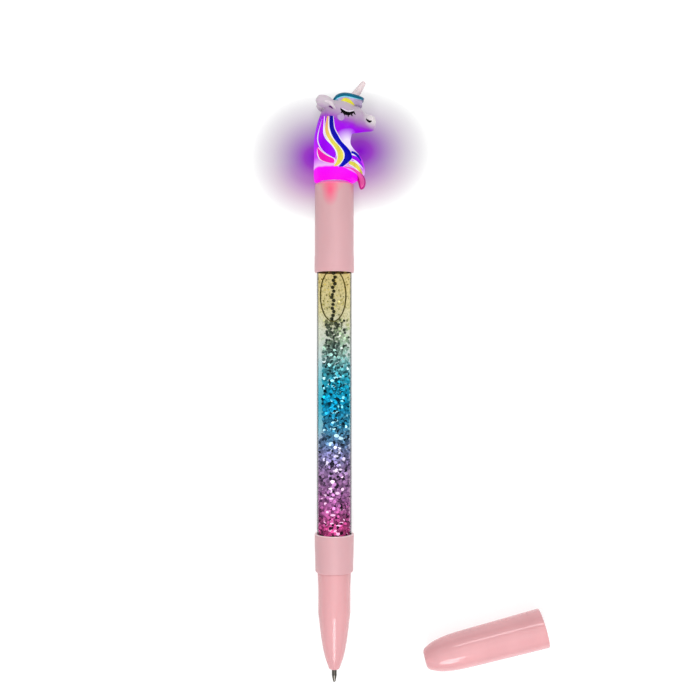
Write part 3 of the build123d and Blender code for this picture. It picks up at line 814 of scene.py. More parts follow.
@dataclass
class GlitterBarrel:
    """The clear barrel, its tinted liquid with the bubble's rim, and the loose flakes.

    A round clear wall spreads what is behind it over its whole width, so the wall is modelled
    thin and its contents reach almost to its outside.
    """

    radius: float = 5.4
    wall: float = 0.16
    flake_r: float = 0.52
    flake_thickness: float = 0.04
    flakes: int = 4200
    margin: float = 0.62
    bubble_half: tuple[float, float] = (4.15, 8.1)
    bubble_flakes: int = 15
    seed: int = 11

    @property
    def fill(self) -> float:
        """Return the radius that the liquid fills."""
        return self.radius - self.wall - 0.04

    def build(self) -> None:
        """Model and dress everything in the barrel."""
        low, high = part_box("barrel_tube")
        start, end = low[1] / MM, high[1] / MM
        bore = self.radius - self.wall
        rings = [(start, self.radius), (end, self.radius), (end, bore), (start, bore)]
        tube = turned("clear_barrel", rings, bevel=0.04, closed=True)
        dress(tube, self.clear())
        place(tube, "barrel", "clear_plastic", ["barrel_tube"])
        low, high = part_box("liquid")
        start, end = low[1] / MM, high[1] / MM
        fill = turned("tinted_liquid", [(start, self.fill), (end, self.fill)], sides=96)
        dress(fill, self.tint(start, end))
        place(fill, "barrel", "tinted_liquid", ["liquid"])
        bubble = self.bubble_rim(end - 2.4 - self.bubble_half[1], fill)
        place(bubble, "barrel", "tinted_liquid")
        glitter = self.glitter(start, end)
        dress(glitter, self.foil(start, end))
        place(glitter, "barrel", "glitter_foil", ["glitter_flakes"])

    def clear(self) -> bpy.types.Material:
        """Return clear polished plastic with faint marks, with painted shade where it is seen edge
        on.

        Returns:
            The finished material.
        """
        s = Shader("clear polished plastic")
        s.set(Base_Color=(0.11, 0.13, 0.14, 1), Roughness=0.07, IOR=1.49, Specular_IOR_Level=0.22)
        marks = s.noise(300, 3, Vector((1, 0.2, 1)))
        # Painted shade: the wall turns opaque dark grey towards its edges, standing in for the dark
        # reflection seen there.
        edge = s.node("LayerWeight", Blend=0.5).outputs["Facing"]
        painted_edge_shade = s.node("MapRange", Value=edge, From_Min=0.56, From_Max=0.86,
                      To_Min=0.0, To_Max=0.75)
        haze = s.node("MapRange", Value=marks, To_Min=0.0, To_Max=0.02)
        s.link(s.math("ADD", painted_edge_shade.outputs["Result"], haze.outputs["Result"]), "Alpha")
        s.bump(marks, 0.05, 0.02)
        return s.material

    def graded(self, s: Shader, start: float, end: float, stops: Sequence[tuple[float, Colour]]
               ) -> bpy.types.NodeSocket:
        """Return a colour graded along the barrel, with its bands blurred at random.

        Args:
            s: the shader that the colour is for.
            start: where the liquid starts, in millimetres.
            end: where it ends.
            stops: the place and colour of each band.

        Returns:
            The socket that holds the colour.
        """
        way = s.along(1, start * MM, end * MM)
        drift = s.math("MULTIPLY", s.math("SUBTRACT", s.noise(260, 2), 0.5), 0.10)
        return s.ramp(s.math("ADD", way, drift), stops)

    def tint(self, start: float, end: float) -> bpy.types.Material:
        """Return the tinted liquid, which colours what is seen through it.

        Args:
            start: where the liquid starts, in millimetres.
            end: where it ends.

        Returns:
            The finished material.
        """
        s = Shader("graded tinted liquid").set(Roughness=0.1, IOR=1.34, Specular_IOR_Level=0.1)
        s.link(self.graded(s, start, end, Band.foil()), "Base Color")
        clear = s.node("BsdfTransparent")
        specks = s.ramp(s.noise(1100, 3), [(0.34, (0.76, 0.78, 0.68)), (0.48, (1.0, 1.0, 0.98)),
                                           (0.64, WHITE)])
        length = end - start
        upper = s.along(1, (start + 0.58 * length) * MM, (start + 0.85 * length) * MM)
        specks = s.mix(upper, WHITE, specks)
        s.link(s.mix(1.0, self.graded(s, start, end, Band.tint()), specks, "MULTIPLY"),
               clear.inputs["Color"])
        share = s.node("MapRange", Value=s.noise(500, 3), To_Min=0.0, To_Max=0.03)
        mixed = s.node("MixShader", Fac=share.outputs["Result"])
        s.link(clear.outputs[0], mixed.inputs[1])
        s.link(s.bsdf.outputs[0], mixed.inputs[2])
        s.link(mixed.outputs[0], s.tree.nodes["Material Output"].inputs["Surface"])
        return s.material

    def foil(self, start: float, end: float) -> bpy.types.Material:
        """Return the flakes' foil: coloured, with painted shade and painted dark reflections on the
        dark ones, painted glints on the bright white ones, and a faint painted glow on all.

        Args:
            start: where the liquid starts, in millimetres.
            end: where it ends.

        Returns:
            The finished material.
        """
        # Painted light: every flake glows a little in its own colour, which brightens the foil.
        s = Shader("hexagon foil").set(Metallic=0.7, Emission_Strength=0.3, Specular_IOR_Level=0.2)
        shade = s.node("Attribute")
        shade.attribute_name = "foil_tone_and_painted_light"
        fac = shade.outputs["Fac"]
        # The stored value runs from near black, for painted shade and painted dark reflections,
        # through the foil's own tones to bright.
        tone = s.ramp(fac, [(0.0, (0.012, 0.014, 0.014)), (0.22, (0.12, 0.13, 0.14)),
                            (0.5, (0.62, 0.62, 0.62)), (0.85, (1.5, 1.5, 1.5))])
        tinted = s.mix(1.0, self.graded(s, start, end, Band.foil()), tone, "MULTIPLY")
        # Painted glints: flakes at the top of the scale turn white and glow strongly.
        painted_glint = s.node("MapRange", Value=fac, From_Min=0.92, From_Max=0.97).outputs["Result"]
        s.link(s.mix(painted_glint, tinted, WHITE), "Base Color")
        s.link(s.mix(painted_glint, tinted, (3.0, 3.0, 3.0)), "Emission Color")
        rough = s.node("MapRange", Value=fac, To_Min=0.5, To_Max=0.3)
        s.link(rough.outputs["Result"], "Roughness")
        s.bump(s.noise(3000, 1), 0.15, 0.01)
        return s.material

    def bubble_rim(self, middle: float, liquid: bpy.types.Object) -> bpy.types.Object:
        """Model the meniscus round the bubble, an oval bead on the liquid's surface, painted dark
        as shade for the bubble's outline.

        Args:
            middle: the bubble's middle along the pen, in millimetres.
            liquid: the liquid that the bead lies on.

        Returns:
            The dressed bead.
        """
        deselect()
        half_across, half_along = self.bubble_half
        centre = Vector((PEN.x - 0.3, middle, PEN.z + self.radius + 0.6)) * MM
        bpy.ops.mesh.primitive_circle_add(vertices=144, radius=MM, location=centre,
                                          fill_type="NGON")
        rim = named("bubble_rim")
        settle(rim)
        bpy.ops.object.mode_set(mode="EDIT")
        bpy.ops.mesh.select_all(action="SELECT")
        bpy.ops.transform.resize(value=(half_across, half_along, 1), center_override=centre)
        bpy.ops.mesh.inset(thickness=0.36 * MM)
        bpy.ops.mesh.delete(type="FACE")
        bpy.ops.object.mode_set(mode="OBJECT")
        apply(rim, "SHRINKWRAP", target=liquid, wrap_method="PROJECT", use_project_z=True,
              use_negative_direction=True, use_positive_direction=False)
        apply(rim, "SOLIDIFY", thickness=0.16 * MM, offset=-1)
        outwards(rim)
        apply(rim, "BEVEL", width=0.05 * MM, segments=2, limit_method="ANGLE",
              angle_limit=math.radians(50))
        smooth(rim, 60)
        s = Shader("bubble meniscus").set(Roughness=0.2, IOR=1.34, Specular_IOR_Level=0.1)
        # The bead is a real meniscus, but its dark olive is painted shade for the dark outline of
        # the bubble's curved edge.
        olive = s.ramp(s.noise(900, 2), [(0.3, srgb(58, 54, 20)), (0.7, srgb(104, 96, 44))])
        s.link(olive, "Base Color")
        dress(rim, s.material)
        return rim

    def flake(self) -> bpy.types.Object:
        """Model one hexagonal flake at the origin.

        Returns:
            The flake, flat.
        """
        deselect()
        bpy.ops.mesh.primitive_cylinder_add(vertices=6, radius=self.flake_r * MM,
                                            depth=self.flake_thickness * MM)
        piece = named("flake")
        settle(piece)
        return piece

    def glitter(self, start: float, end: float) -> bpy.types.Object:
        """Scatter copies of one flake through the liquid and join them into one piece.

        Args:
            start: where the liquid starts along the pen, in millimetres.
            end: where it ends.

        Returns:
            All the flakes as one piece, each with its own shade.
        """
        rng = random.Random(self.seed)
        one = self.flake()
        sides = len(one.data.polygons)
        copies = []
        for spot, normal, spin, size, shade in self.scatter(rng, start, end):
            turn = normal.to_track_quat("Z", "Y").to_matrix() @ Matrix.Rotation(spin, 3, "Z")
            matrix = Matrix.Translation(spot * MM) @ (turn * size).to_4x4()
            twin = copy_of(one, "glitter", matrix)
            shades = twin.data.attributes.new("foil_tone_and_painted_light", "FLOAT", "FACE")
            shades.data.foreach_set("value", [shade] * sides)
            copies.append(twin)
        bpy.data.objects.remove(one)
        pick(*copies)
        bpy.ops.object.join()
        return named("glitter")

    def scatter(self, rng: random.Random, start: float, end: float) -> Iterator[Flake]:
        """Scatter flakes thickly at the lower end and thinly towards the bubble.

        Args:
            rng: the seeded source of chance.
            start: where the liquid starts along the pen, in millimetres.
            end: where it ends.

        Yields:
            Each flake's place, normal, spin, size and shade; the shade holds its foil's tone,
            painted shade by depth, painted dark reflections and painted glints.
        """
        made = 0
        outer = self.fill - self.margin
        while made < self.flakes:
            share = rng.random() ** 1.15
            along = start + 1.0 + share * (end - start - 2.0)
            turn = rng.uniform(0, 2 * math.pi)
            reach = outer * (1 - 0.6 * rng.random() ** 1.8)
            out = Vector((math.cos(turn), 0, math.sin(turn)))
            spot = out * reach
            central = abs(spot.x + 0.5) < 2.0
            clear_strip = 0.36 < share < 0.82 and spot.x < -3.2 - rng.random() * 0.5
            thin = min(1.0, max(0.0, (share - 0.56) / 0.2))
            sparse = rng.random() < thin * (0.5 if central else 0.92 if spot.x < 0 else 0.7)
            top = share > 0.8
            if clear_strip or (sparse and not top) or (top and (rng.random() < 0.7 or spot.z > 0)):
                continue
            made += 1
            depth = (outer - spot.z) / (2 * outer)
            side = out if spot.z > 0 else -out
            normal = (side * rng.uniform(0.3, 1.0) + Vector((0, 0, 0.8))
                      + Vector((rng.gauss(0, 0.16), rng.gauss(0, 0.4), 0))).normalized()
            # Painted shade: deeper flakes are made darker.
            shade = rng.gauss(0.62, 0.25) - 0.25 * depth
            size = rng.uniform(0.75, 1.15)
            if top:
                shade, size = rng.uniform(0.3, 0.75), rng.uniform(0.35, 0.65)
            # Painted dark reflections: central flakes in the thinner part are made dark.
            elif central and rng.random() < thin:
                shade = rng.uniform(0.04, 0.42)
            # In the middle of the lower part, near its upper side, some flakes become painted
            # glints and some painted dark reflections.
            elif share < 0.62 and abs(spot.x - 0.5) < 1.9 and spot.z > 2.6:
                draw = rng.random()
                shade = 1.0 if draw < 0.075 else (0.04 if draw < 0.25 else shade)
            # Painted glints are larger and tilted along the pen.
            if shade == 1.0:
                size = rng.uniform(1.2, 1.7)
                normal = Vector((0.1, rng.choice((-1.5, 1.5)), 1)).normalized()
            yield (Vector((PEN.x, along, PEN.z)) + spot, normal, rng.uniform(0, math.pi),
                   size, min(0.88, max(0.0, shade)) if shade < 1 else 1.0)
        # A row of dark flakes under the bubble: painted dark reflections.
        for index in range(self.bubble_flakes):
            along = end - 2.6 - index * 1.06 + rng.uniform(-0.2, 0.2)
            spot = Vector((PEN.x - 0.3 + rng.gauss(0, 0.32), along, PEN.z + 2.6))
            yield spot, Vector((0, 0.05, 1)), rng.uniform(0, 1), rng.uniform(0.95, 1.25), 0.02


# ---- The unicorn head ----
# Relief is laid down onto the skin from ABOVE; it is drawn in towards UNDER_EYE, the place
# below the eye, by its depth over the eye's distance.
HEAD = PEN.head
Strip = Sequence[tuple[float, float, float]]
ABOVE = 6.4
RELIEF_DEPTH = 4.9
UNDER_EYE = (4.87, -51.4)
EYE_DISTANCE = 301


@dataclass
class UnicornHead:
    """The lit head: skin, ears, horn, forelock, painted locks and face."""

    voxel: float = 0.24
    white_edge: float = 0.36
    horn_r: float = 1.5
    crest: Sequence[Station] = (
        (0.6, 0.15, 6.35, 5.55), (0.9, 0.3, 6.5, 5.6), (1.5, 0.8, 7.1, 5.6), (3.0, 1.5, 7.9, 5.6),
        (6.0, 1.45, 7.8, 5.55), (8.5, 0.9, 7.2, 5.5), (10.7, -0.1, 6.25, 5.4),
        (12.5, -0.65, 5.7, 5.3), (14.5, -0.5, 5.7, 5.2), (17.0, 0.1, 5.8, 5.15),
        (20.0, 0.9, 5.8, 5.0), (23.0, 1.7, 5.3, 4.6), (25.2, 2.0, 4.0, 3.4), (26.4, 2.0, 1.6, 1.5))
    muzzle: Sequence[Station] = (
        (2.5, 19.7, 4.0, 4.5), (5.5, 20.0, 4.2, 4.35), (7.7, 19.9, 3.9, 3.9),
        (9.0, 19.3, 3.1, 3.5), (10.2, 18.9, 2.6, 3.25), (11.3, 18.85, 2.45, 3.15),
        (12.2, 18.7, 2.0, 2.6), (12.75, 18.7, 1.2, 1.5))

    @cached_property
    def edge_white(self) -> bpy.types.Material:
        """Return the paint of the locks' raised edges, made once."""
        return Painted("white relief edge", srgb(255, 248, 255), 0.75).material()

    def lofted(self, name: str, stations: Sequence[Station], sideways: bool = False
               ) -> bpy.types.Object:
        """Grow a rounded form ring by ring.

        Args:
            name: the form's name.
            stations: (place, middle, half across, half depth) of each ring, in millimetres.
            sideways: whether the rings follow one another across the head and not up it.

        Returns:
            The closed form.
        """
        rings = through(stations, 3)
        deselect()
        at, middle, half, depth = rings[0]
        centre = HEAD(at, middle) if sideways else HEAD(middle, at)
        turn = (0, math.pi / 2, 0) if sideways else (math.pi / 2, 0, 0)
        bpy.ops.mesh.primitive_circle_add(vertices=48, radius=MM, rotation=turn, location=centre,
                                          fill_type="NGON")
        form = named(name)
        settle(form)
        bpy.ops.object.mode_set(mode="EDIT")
        bpy.ops.mesh.select_all(action="SELECT")
        scale = (1, half, depth) if sideways else (half, 1, depth)
        bpy.ops.transform.resize(value=scale, center_override=centre)
        for ring in rings[1:]:
            goal = HEAD(ring[0], ring[1]) if sideways else HEAD(ring[1], ring[0])
            bpy.ops.mesh.extrude_region_move(TRANSFORM_OT_translate={"value": goal - centre})
            across, deep = ring[2] / half, ring[3] / depth
            scale = (1, across, deep) if sideways else (across, 1, deep)
            bpy.ops.transform.resize(value=scale, center_override=goal)
            centre, half, depth = goal, ring[2], ring[3]
        bpy.ops.object.mode_set(mode="OBJECT")
        outwards(form)
        return form

    def lump(self, centre: Vector, halves: Sequence[float], tilt: float = 0.0) -> bpy.types.Object:
        """Add a rounded lump with these half sizes, tilted in the profile.

        Args:
            centre: the lump's middle.
            halves: its half sizes, in millimetres.
            tilt: its turn in the profile, in degrees.

        Returns:
            The lump.
        """
        deselect()
        bpy.ops.mesh.primitive_uv_sphere_add(segments=40, ring_count=24, radius=MM)
        piece = named("lump")
        turn = Matrix.Rotation(math.radians(tilt), 4, "Z")
        settle(piece, Matrix.Translation(centre) @ turn @ Matrix.Diagonal((*halves, 1)))
        return piece

    def fused(self, name: str, parts: Sequence[bpy.types.Object], voxel: float, rounds: int
              ) -> bpy.types.Object:
        """Fuse overlapping forms into one skin and soften it.

        Args:
            name: the skin's name.
            parts: the forms, which overlap.
            voxel: the fused mesh's cell, in millimetres.
            rounds: how often it is softened.

        Returns:
            The skin in one piece.
        """
        pick(*parts)
        bpy.ops.object.join()
        skin = named(name)
        skin.data.remesh_voxel_size = voxel * MM
        bpy.ops.object.voxel_remesh()
        apply(skin, "SMOOTH", factor=0.6, iterations=rounds)
        smooth(skin, 180)
        return skin

    def ears(self) -> list[bpy.types.Object]:
        """Model both ears, each a leaning leaf with rounded ends.

        Returns:
            The forms that make up the ears.
        """
        pieces = []
        for side in Side:
            deep = side.value
            pieces.append(self.lump(HEAD(-3.0, 24.85, 3.3 * deep), (2.7, 1.95, 1.5), -12))
            pieces.append(self.lump(HEAD(-3.9, 25.1, 3.4 * deep), (1.65, 1.8, 1.25)))
            pieces.append(self.lump(HEAD(-0.9, 24.2, 3.3 * deep), (1.5, 1.35, 1.35), -35))
        return pieces

    def skin(self) -> bpy.types.Object:
        """Model the head's skin in one piece with the ears and muzzle.

        Returns:
            The skin.
        """
        parts = [self.lofted("crest", self.crest),
                 self.lofted("muzzle", self.muzzle, sideways=True),
                 self.lump(HEAD(11.0, 19.3, 0), (1.9, 2.1, 3.2)), *self.ears()]
        for side in Side:
            parts.append(self.lump(HEAD(4.2, 19.0, 2.2 * side.value), (3.4, 3.2, 3.0)))
        return self.fused("unicorn_skin", parts, self.voxel, 6)

    def horn(self) -> bpy.types.Object:
        """Model the horn: a taper with grooves round it.

        Returns:
            The horn in its place.
        """
        foot, tip = HEAD(5.6, 26.2), HEAD(9.35, 31.75)
        length = (tip - foot).length
        steps = 28
        deselect()
        bpy.ops.mesh.primitive_circle_add(vertices=30, radius=self.horn_r * MM, fill_type="NGON")
        horn = named("horn_spire")
        bpy.ops.object.mode_set(mode="EDIT")
        bpy.ops.mesh.select_all(action="SELECT")
        radius = self.horn_r
        for step in range(1, steps + 1):
            share = step / steps
            wide = self.horn_r - 0.78 * share + (0.06 if step % 4 < 2 else -0.06) * (1 - share)
            wide = {steps - 1: 0.62, steps: 0.3}.get(step, wide)
            rise = length / steps
            bpy.ops.mesh.extrude_region_move(TRANSFORM_OT_translate={"value": (0, 0, rise)})
            height = rise * step
            bpy.ops.transform.resize(value=(wide / radius, wide / radius, 1),
                                     center_override=(0, 0, height))
            radius = wide
        bpy.ops.object.mode_set(mode="OBJECT")
        turn = (tip - foot).to_track_quat("Z", "Y").to_matrix().to_4x4()
        settle(horn, Matrix.Translation(foot) @ turn)
        outwards(horn)
        apply(horn, "SUBSURF", levels=1, render_levels=1)
        smooth(horn, 180)
        return horn

    def forelock(self) -> bpy.types.Object:
        """Model the rolled forelock over the brow.

        Returns:
            The roll with a tuft on each side.
        """
        stations = ((-0.6, 25.4, 0.6, 1.6), (1.0, 25.75, 1.75, 3.3), (3.0, 25.95, 2.05, 3.9),
                    (5.0, 25.75, 2.05, 4.0), (6.9, 25.55, 1.65, 3.7), (8.0, 25.9, 1.0, 2.8),
                    (8.8, 26.25, 0.55, 1.6), (9.3, 26.45, 0.25, 0.7))
        roll = self.lofted("roll", stations, sideways=True)
        tufts = [self.lump(HEAD(7.95, 24.7, 1.9 * side.value), (0.75, 0.8, 1.2)) for side in Side]
        return self.fused("forelock_roll", [roll, *tufts], 0.2, 4)

    def strip(self, name: str, rows: Strip, target: bpy.types.Object, lift: float, thick: float,
              grow: float = 0.0, sideways: bool = False, depth: float = RELIEF_DEPTH
              ) -> bpy.types.Object:
        """Lay a leaf of relief on a surface.

        Args:
            name: the leaf's name.
            rows: (place, low edge, high edge) of each row, in millimetres.
            target: what it lies on.
            lift: how far it stands off the surface.
            thick: how thick it is.
            grow: how much wider than its rows it is on each side.
            sideways: whether the rows follow one another across the head.
            depth: how far above the pen's axis it lies, for the place that it is seen at.

        Returns:
            The leaf on the upper side.
        """
        table = through(rows, 4)

        def row(index: int) -> tuple[Vector, float]:
            """Find where a row lies.

            Args:
                index: the row's number.

            Returns:
                The row's middle, and half its width in millimetres.
            """
            at, low, high = table[index]
            taper = min(1.0, 0.25 + 2.2 * min(index, len(table) - 1 - index) / len(table))
            middle = (low + high) / 2
            seen = self.facing(*((at, middle) if sideways else (middle, at)), depth)
            return HEAD(*seen, ABOVE), max(0.03, (high - low) / 2 + grow * taper)

        deselect()
        bpy.ops.mesh.primitive_grid_add(x_subdivisions=5, y_subdivisions=1, size=2 * MM)
        leaf = named(name)
        bpy.ops.object.mode_set(mode="EDIT")
        bpy.ops.mesh.select_all(action="DESELECT")
        bpy.ops.object.mode_set(mode="OBJECT")
        for vertex in leaf.data.vertices:
            vertex.select = vertex.co.y > 0
        bpy.ops.object.mode_set(mode="EDIT")
        bpy.ops.mesh.delete(type="VERT")
        bpy.ops.object.mode_set(mode="OBJECT")
        centre, half = row(0)
        turn = Matrix.Rotation(math.pi / 2 if sideways else 0, 4, "Z")
        settle(leaf, Matrix.Translation(centre) @ turn @ Matrix.Translation((0, MM, 0)))
        pick(leaf)
        bpy.ops.object.mode_set(mode="EDIT")
        bpy.ops.mesh.select_all(action="SELECT")

        def widen(share: float) -> None:
            """Widen the last row across the leaf."""
            bpy.ops.transform.resize(value=(1, share, 1) if sideways else (share, 1, 1),
                                     center_override=centre)

        widen(half)
        for index in range(1, len(table)):
            goal, wide = row(index)
            bpy.ops.mesh.extrude_region_move(TRANSFORM_OT_translate={"value": goal - centre})
            centre = goal
            widen(wide / half)
            half = wide
        bpy.ops.object.mode_set(mode="OBJECT")
        if leaf.data.polygons[0].normal.z < 0:
            leaf.data.flip_normals()
        apply(leaf, "SHRINKWRAP", target=target, wrap_method="PROJECT", use_project_z=True,
              use_negative_direction=True, use_positive_direction=False)
        apply(leaf, "SHRINKWRAP", target=target, wrap_method="NEAREST_SURFACEPOINT",
              wrap_mode="ABOVE_SURFACE", offset=lift * MM)
        apply(leaf, "SOLIDIFY", thickness=thick * MM, offset=-1)
        outwards(leaf)
        apply(leaf, "BEVEL", width=min(0.12, thick * 0.4) * MM, segments=2, limit_method="ANGLE",
              angle_limit=math.radians(50))
        smooth(leaf, 40)
        return leaf

    @staticmethod
    def facing(across: float, height: float, depth: float = RELIEF_DEPTH) -> tuple[float, float]:
        """Draw a place on the outline plane in to where it lies on the raised near side.

        Args:
            across: the place across the head, in millimetres.
            height: its height on the head.
            depth: how far above the pen's axis the relief lies there.

        Returns:
            The place across and up the head, drawn in.
        """
        draw_in = 1 - depth / EYE_DISTANCE
        return tuple(eye + (value - eye) * draw_in
                     for eye, value in zip(UNDER_EYE, (across, height)))

    def both_sides(self, piece: bpy.types.Object) -> bpy.types.Object:
        """Join a piece with its mirror image on the other side of the head.

        Args:
            piece: the piece on the upper side.

        Returns:
            The piece, now on both sides.
        """
        flip = Matrix.Translation((0, 0, 2 * PEN.z * MM)) @ Matrix.Diagonal((1, 1, -1, 1))
        twin = copy_of(piece, piece.name + "_twin", flip)
        pick(piece, twin)
        bpy.ops.object.join()
        return piece

    def lock(self, name: str, rows: Strip, skin: bpy.types.Object, finish: bpy.types.Material,
             slot: str, nodes: Sequence[str], sideways: bool = False) -> None:
        """Lay one painted lock with its raised white edge on both sides of the head.

        Args:
            name: the lock's name.
            rows: (place, low edge, high edge) of each row, in millimetres.
            skin: the skin that it lies on.
            finish: the lock's own paint.
            slot: the record's material slot.
            nodes: the CAD nodes that it replaces.
            sideways: whether the rows follow one another across the head.
        """
        edge = self.both_sides(self.strip(name + "_edge", rows, skin, 0.16, 0.35,
                                          self.white_edge, sideways))
        dress(edge, self.edge_white)
        place(edge, "head", "horn_skin")
        leaf = self.both_sides(self.strip(name, rows, skin, 0.28, 0.35, 0.0, sideways))
        dress(leaf, finish)
        place(leaf, "head", slot, nodes)

    def mane(self, skin: bpy.types.Object) -> None:
        """Lay the mane's locks and the small locks on the chest.

        Args:
            skin: the skin that they lie on.
        """
        blue = Painted("blue enamel", srgb(0, 0, 186), 0.3, srgb(0, 0, 160)).material()
        yellow = Painted("yellow enamel", srgb(228, 216, 82), 0.25, srgb(246, 178, 112)).material()
        violet = Painted("violet enamel", srgb(158, 0, 250), 0.6, srgb(190, 20, 240)).material()
        pink = Painted("hot pink enamel", srgb(255, 20, 190), 0.6).material()
        self.lock("blue_lock", ((21.2, -1.35, -0.35), (19.0, -1.5, -0.2), (17.2, -1.35, 0.05),
                                (15.1, -0.7, 1.1), (13.2, 0.45, 2.25), (11.4, 2.0, 3.95),
                                (9.8, 3.0, 5.1), (8.1, 3.1, 5.4), (6.6, 2.3, 4.2),
                                (5.3, 1.3, 2.6)),
                  skin, blue, "hair_blue", ["mane_blue_lock"])
        self.lock("yellow_lock", ((21.2, -2.1, -1.75), (19.0, -2.55, -1.9), (17.0, -2.75, -1.85),
                                  (15.1, -2.35, -1.2), (13.3, -1.35, -0.05), (11.5, 0.0, 1.55),
                                  (9.8, 0.95, 2.6), (8.1, 1.1, 2.75), (6.6, 0.6, 2.0),
                                  (5.5, -0.15, 0.7)),
                  skin, yellow, "hair_yellow", ["mane_yellow_lock"])
        self.lock("violet_lock", ((21.4, -3.4, -3.05), (19.6, -3.9, -3.2), (17.6, -4.4, -3.35),
                                  (15.6, -4.8, -3.3), (13.8, -4.85, -2.5),
                                  (12.0, -4.3, -0.9), (10.4, -3.3, 0.2), (9.2, -1.9, 0.55),
                                  (8.2, -0.4, 0.45)),
                  skin, violet, "hair_violet", ["mane_violet_lock"])
        self.lock("pink_lock", ((11.7, -5.15, -5.0), (10.8, -5.1, -4.4), (9.7, -4.95, -3.3),
                                (8.7, -4.6, -1.9), (7.8, -4.1, -0.2), (7.0, -2.8, 0.1),
                                (6.5, -1.2, -0.1)),
                  skin, pink, "hair_pink", ["mane_pink_lock"])
        self.lock("chest_blue", ((5.2, 9.7, 10.4), (6.2, 9.3, 10.3), (7.3, 8.4, 9.6),
                                 (8.2, 7.1, 8.0)),
                  skin, blue, "hair_blue", ["chest_blue_lock"], sideways=True)
        self.lock("chest_violet", ((5.3, 8.0, 9.1), (6.8, 7.3, 8.7), (8.1, 6.2, 7.4),
                                   (8.8, 5.4, 6.0)),
                  skin, violet, "hair_violet", ["chest_violet_lock"], sideways=True)
        self.lock("chest_yellow", ((4.5, 6.2, 7.1), (5.7, 5.7, 7.0), (6.9, 4.9, 6.4),
                                   (8.0, 3.9, 5.2), (8.6, 3.3, 4.1)),
                  skin, yellow, "hair_yellow", ["chest_yellow_lock"], sideways=True)

    def curl(self, name: str, grow: float, sink: float) -> bpy.types.Object:
        """Model the curl that hangs in front of the chest.

        Args:
            name: the piece's name.
            grow: how much wider than the curl it is, for the dark edge under it.
            sink: how much less deep it is on each side.

        Returns:
            The curl, or its edge.
        """
        path = ((3.2, 5.3, 0.3, 5.95), (5.0, 4.9, 0.55, 5.75), (6.9, 3.9, 0.8, 5.0),
                (8.1, 2.5, 1.0, 4.2), (8.6, 1.1, 1.0, 3.6), (8.6, -0.1, 0.75, 2.8),
                (8.45, -0.95, 0.35, 1.6))
        parts = []
        for across, height, radius, deep in through(path, 6):
            seen = self.facing(across, height, deep * 0.8)
            parts.append(self.lump(HEAD(*seen, 0), (radius + grow, radius + grow, deep - sink)))
        return self.fused(name, parts, 0.18, 4)

    def face(self, skin: bpy.types.Object) -> None:
        """Lay the closed eyes, lashes, lids, nostrils and cheeks on both sides.

        Args:
            skin: the skin that they lie on.
        """
        ink = Moulded("black enamel", srgb(6, 4, 8), roughness=0.55, subsurface=0.0,
                      specular=0.05).material()
        marks = {
            "eye_line": ((1.9, 23.1, 23.7), (2.7, 22.1, 23.2), (3.6, 21.5, 22.7), (4.6, 21.4, 22.5),
                         (5.5, 21.8, 22.7), (6.2, 22.5, 22.95)),
            "nostril": ((9.85, 20.4, 20.8), (10.4, 19.75, 20.45), (11.0, 19.5, 20.15),
                        (11.6, 19.8, 20.2))}
        for name, rows in marks.items():
            mark = self.both_sides(self.strip(name, rows, skin, 0.12, 0.2, sideways=True))
            dress(mark, ink)
            place(mark, "head", "chip_black")
        roots = ((2.5, 21.9, -0.5), (3.3, 21.2, -0.3), (4.3, 20.95, 0.05), (5.2, 21.2, 0.35),
                 (6.0, 21.8, 0.5))
        for index, (x, y, lean) in enumerate(roots):
            rows = ((y - 0.1, x + lean - 0.16, x + lean + 0.12),
                    (y + 0.35, x + lean * 0.5 - 0.2, x + lean * 0.5 + 0.2),
                    (y + 0.8, x - 0.26, x + 0.26))
            lash = self.both_sides(self.strip(f"lash_{index + 1}", rows, skin, 0.1, 0.15))
            dress(lash, ink)
            place(lash, "head", "chip_black")
        lid_rows = ((2.2, 23.5, 23.7), (3.2, 22.9, 23.3), (4.2, 22.6, 23.0), (5.2, 22.7, 23.1),
                    (6.1, 23.15, 23.4))
        lid = self.both_sides(self.strip("eyelid", lid_rows, skin, 0.1, 0.25, sideways=True))
        dress(lid, Painted("lid lilac", srgb(226, 214, 232), 0.1).material())
        place(lid, "head", "horn_skin")
        cheek = self.lump(HEAD(*self.facing(2.1, 20.85), 5.0), (1.12, 1.12, 0.35))
        apply(cheek, "SHRINKWRAP", target=skin, wrap_method="NEAREST_SURFACEPOINT",
              wrap_mode="OUTSIDE", offset=0.05 * MM)
        cheek.name = "cheek_spot"
        smooth(cheek, 180)
        cheek = self.both_sides(cheek)
        dress(cheek, Painted("cheek blush", srgb(188, 158, 206), 0.15).material())
        place(cheek, "head", "hair_pink")

    def brow(self, roll: bpy.types.Object) -> None:
        """Lay the teal stripe with its pale edge and the yellow leaf on the forelock.

        Args:
            roll: the forelock that they lie on.
        """
        teal = Painted("teal enamel", srgb(0, 104, 134), 0.1).material()
        pale = Painted("pale blue enamel", srgb(120, 214, 236), 0.15).material()
        yellow = Painted("leaf yellow enamel", srgb(228, 222, 70), 0.15).material()
        stripe = ((-0.45, 25.0, 25.95), (0.3, 25.9, 27.0), (1.1, 26.5, 27.75), (3.1, 26.95, 28.2),
                  (5.5, 26.55, 27.75), (7.4, 26.2, 27.15), (8.9, 26.35, 26.85))
        bands = (("brow_edge", pale, 0.10, 0.28), ("brow_stripe", teal, 0.24, 0.0))
        for name, finish, lift, grow in bands:
            band = self.both_sides(self.strip(name, stripe, roll, lift, 0.25, grow, True, 2.2))
            dress(band, finish)
            place(band, "head", "hair_lilac")
        leaf_rows = ((1.55, 25.55, 25.7), (2.4, 25.5, 26.4), (3.3, 25.5, 26.8), (4.4, 25.4, 26.55),
                     (5.5, 25.15, 25.85), (6.3, 24.95, 25.1))
        leaf = self.both_sides(self.strip("brow_leaf", leaf_rows, roll, 0.2, 0.3, 0.0, True, 4.2))
        dress(leaf, yellow)
        place(leaf, "head", "hair_yellow")

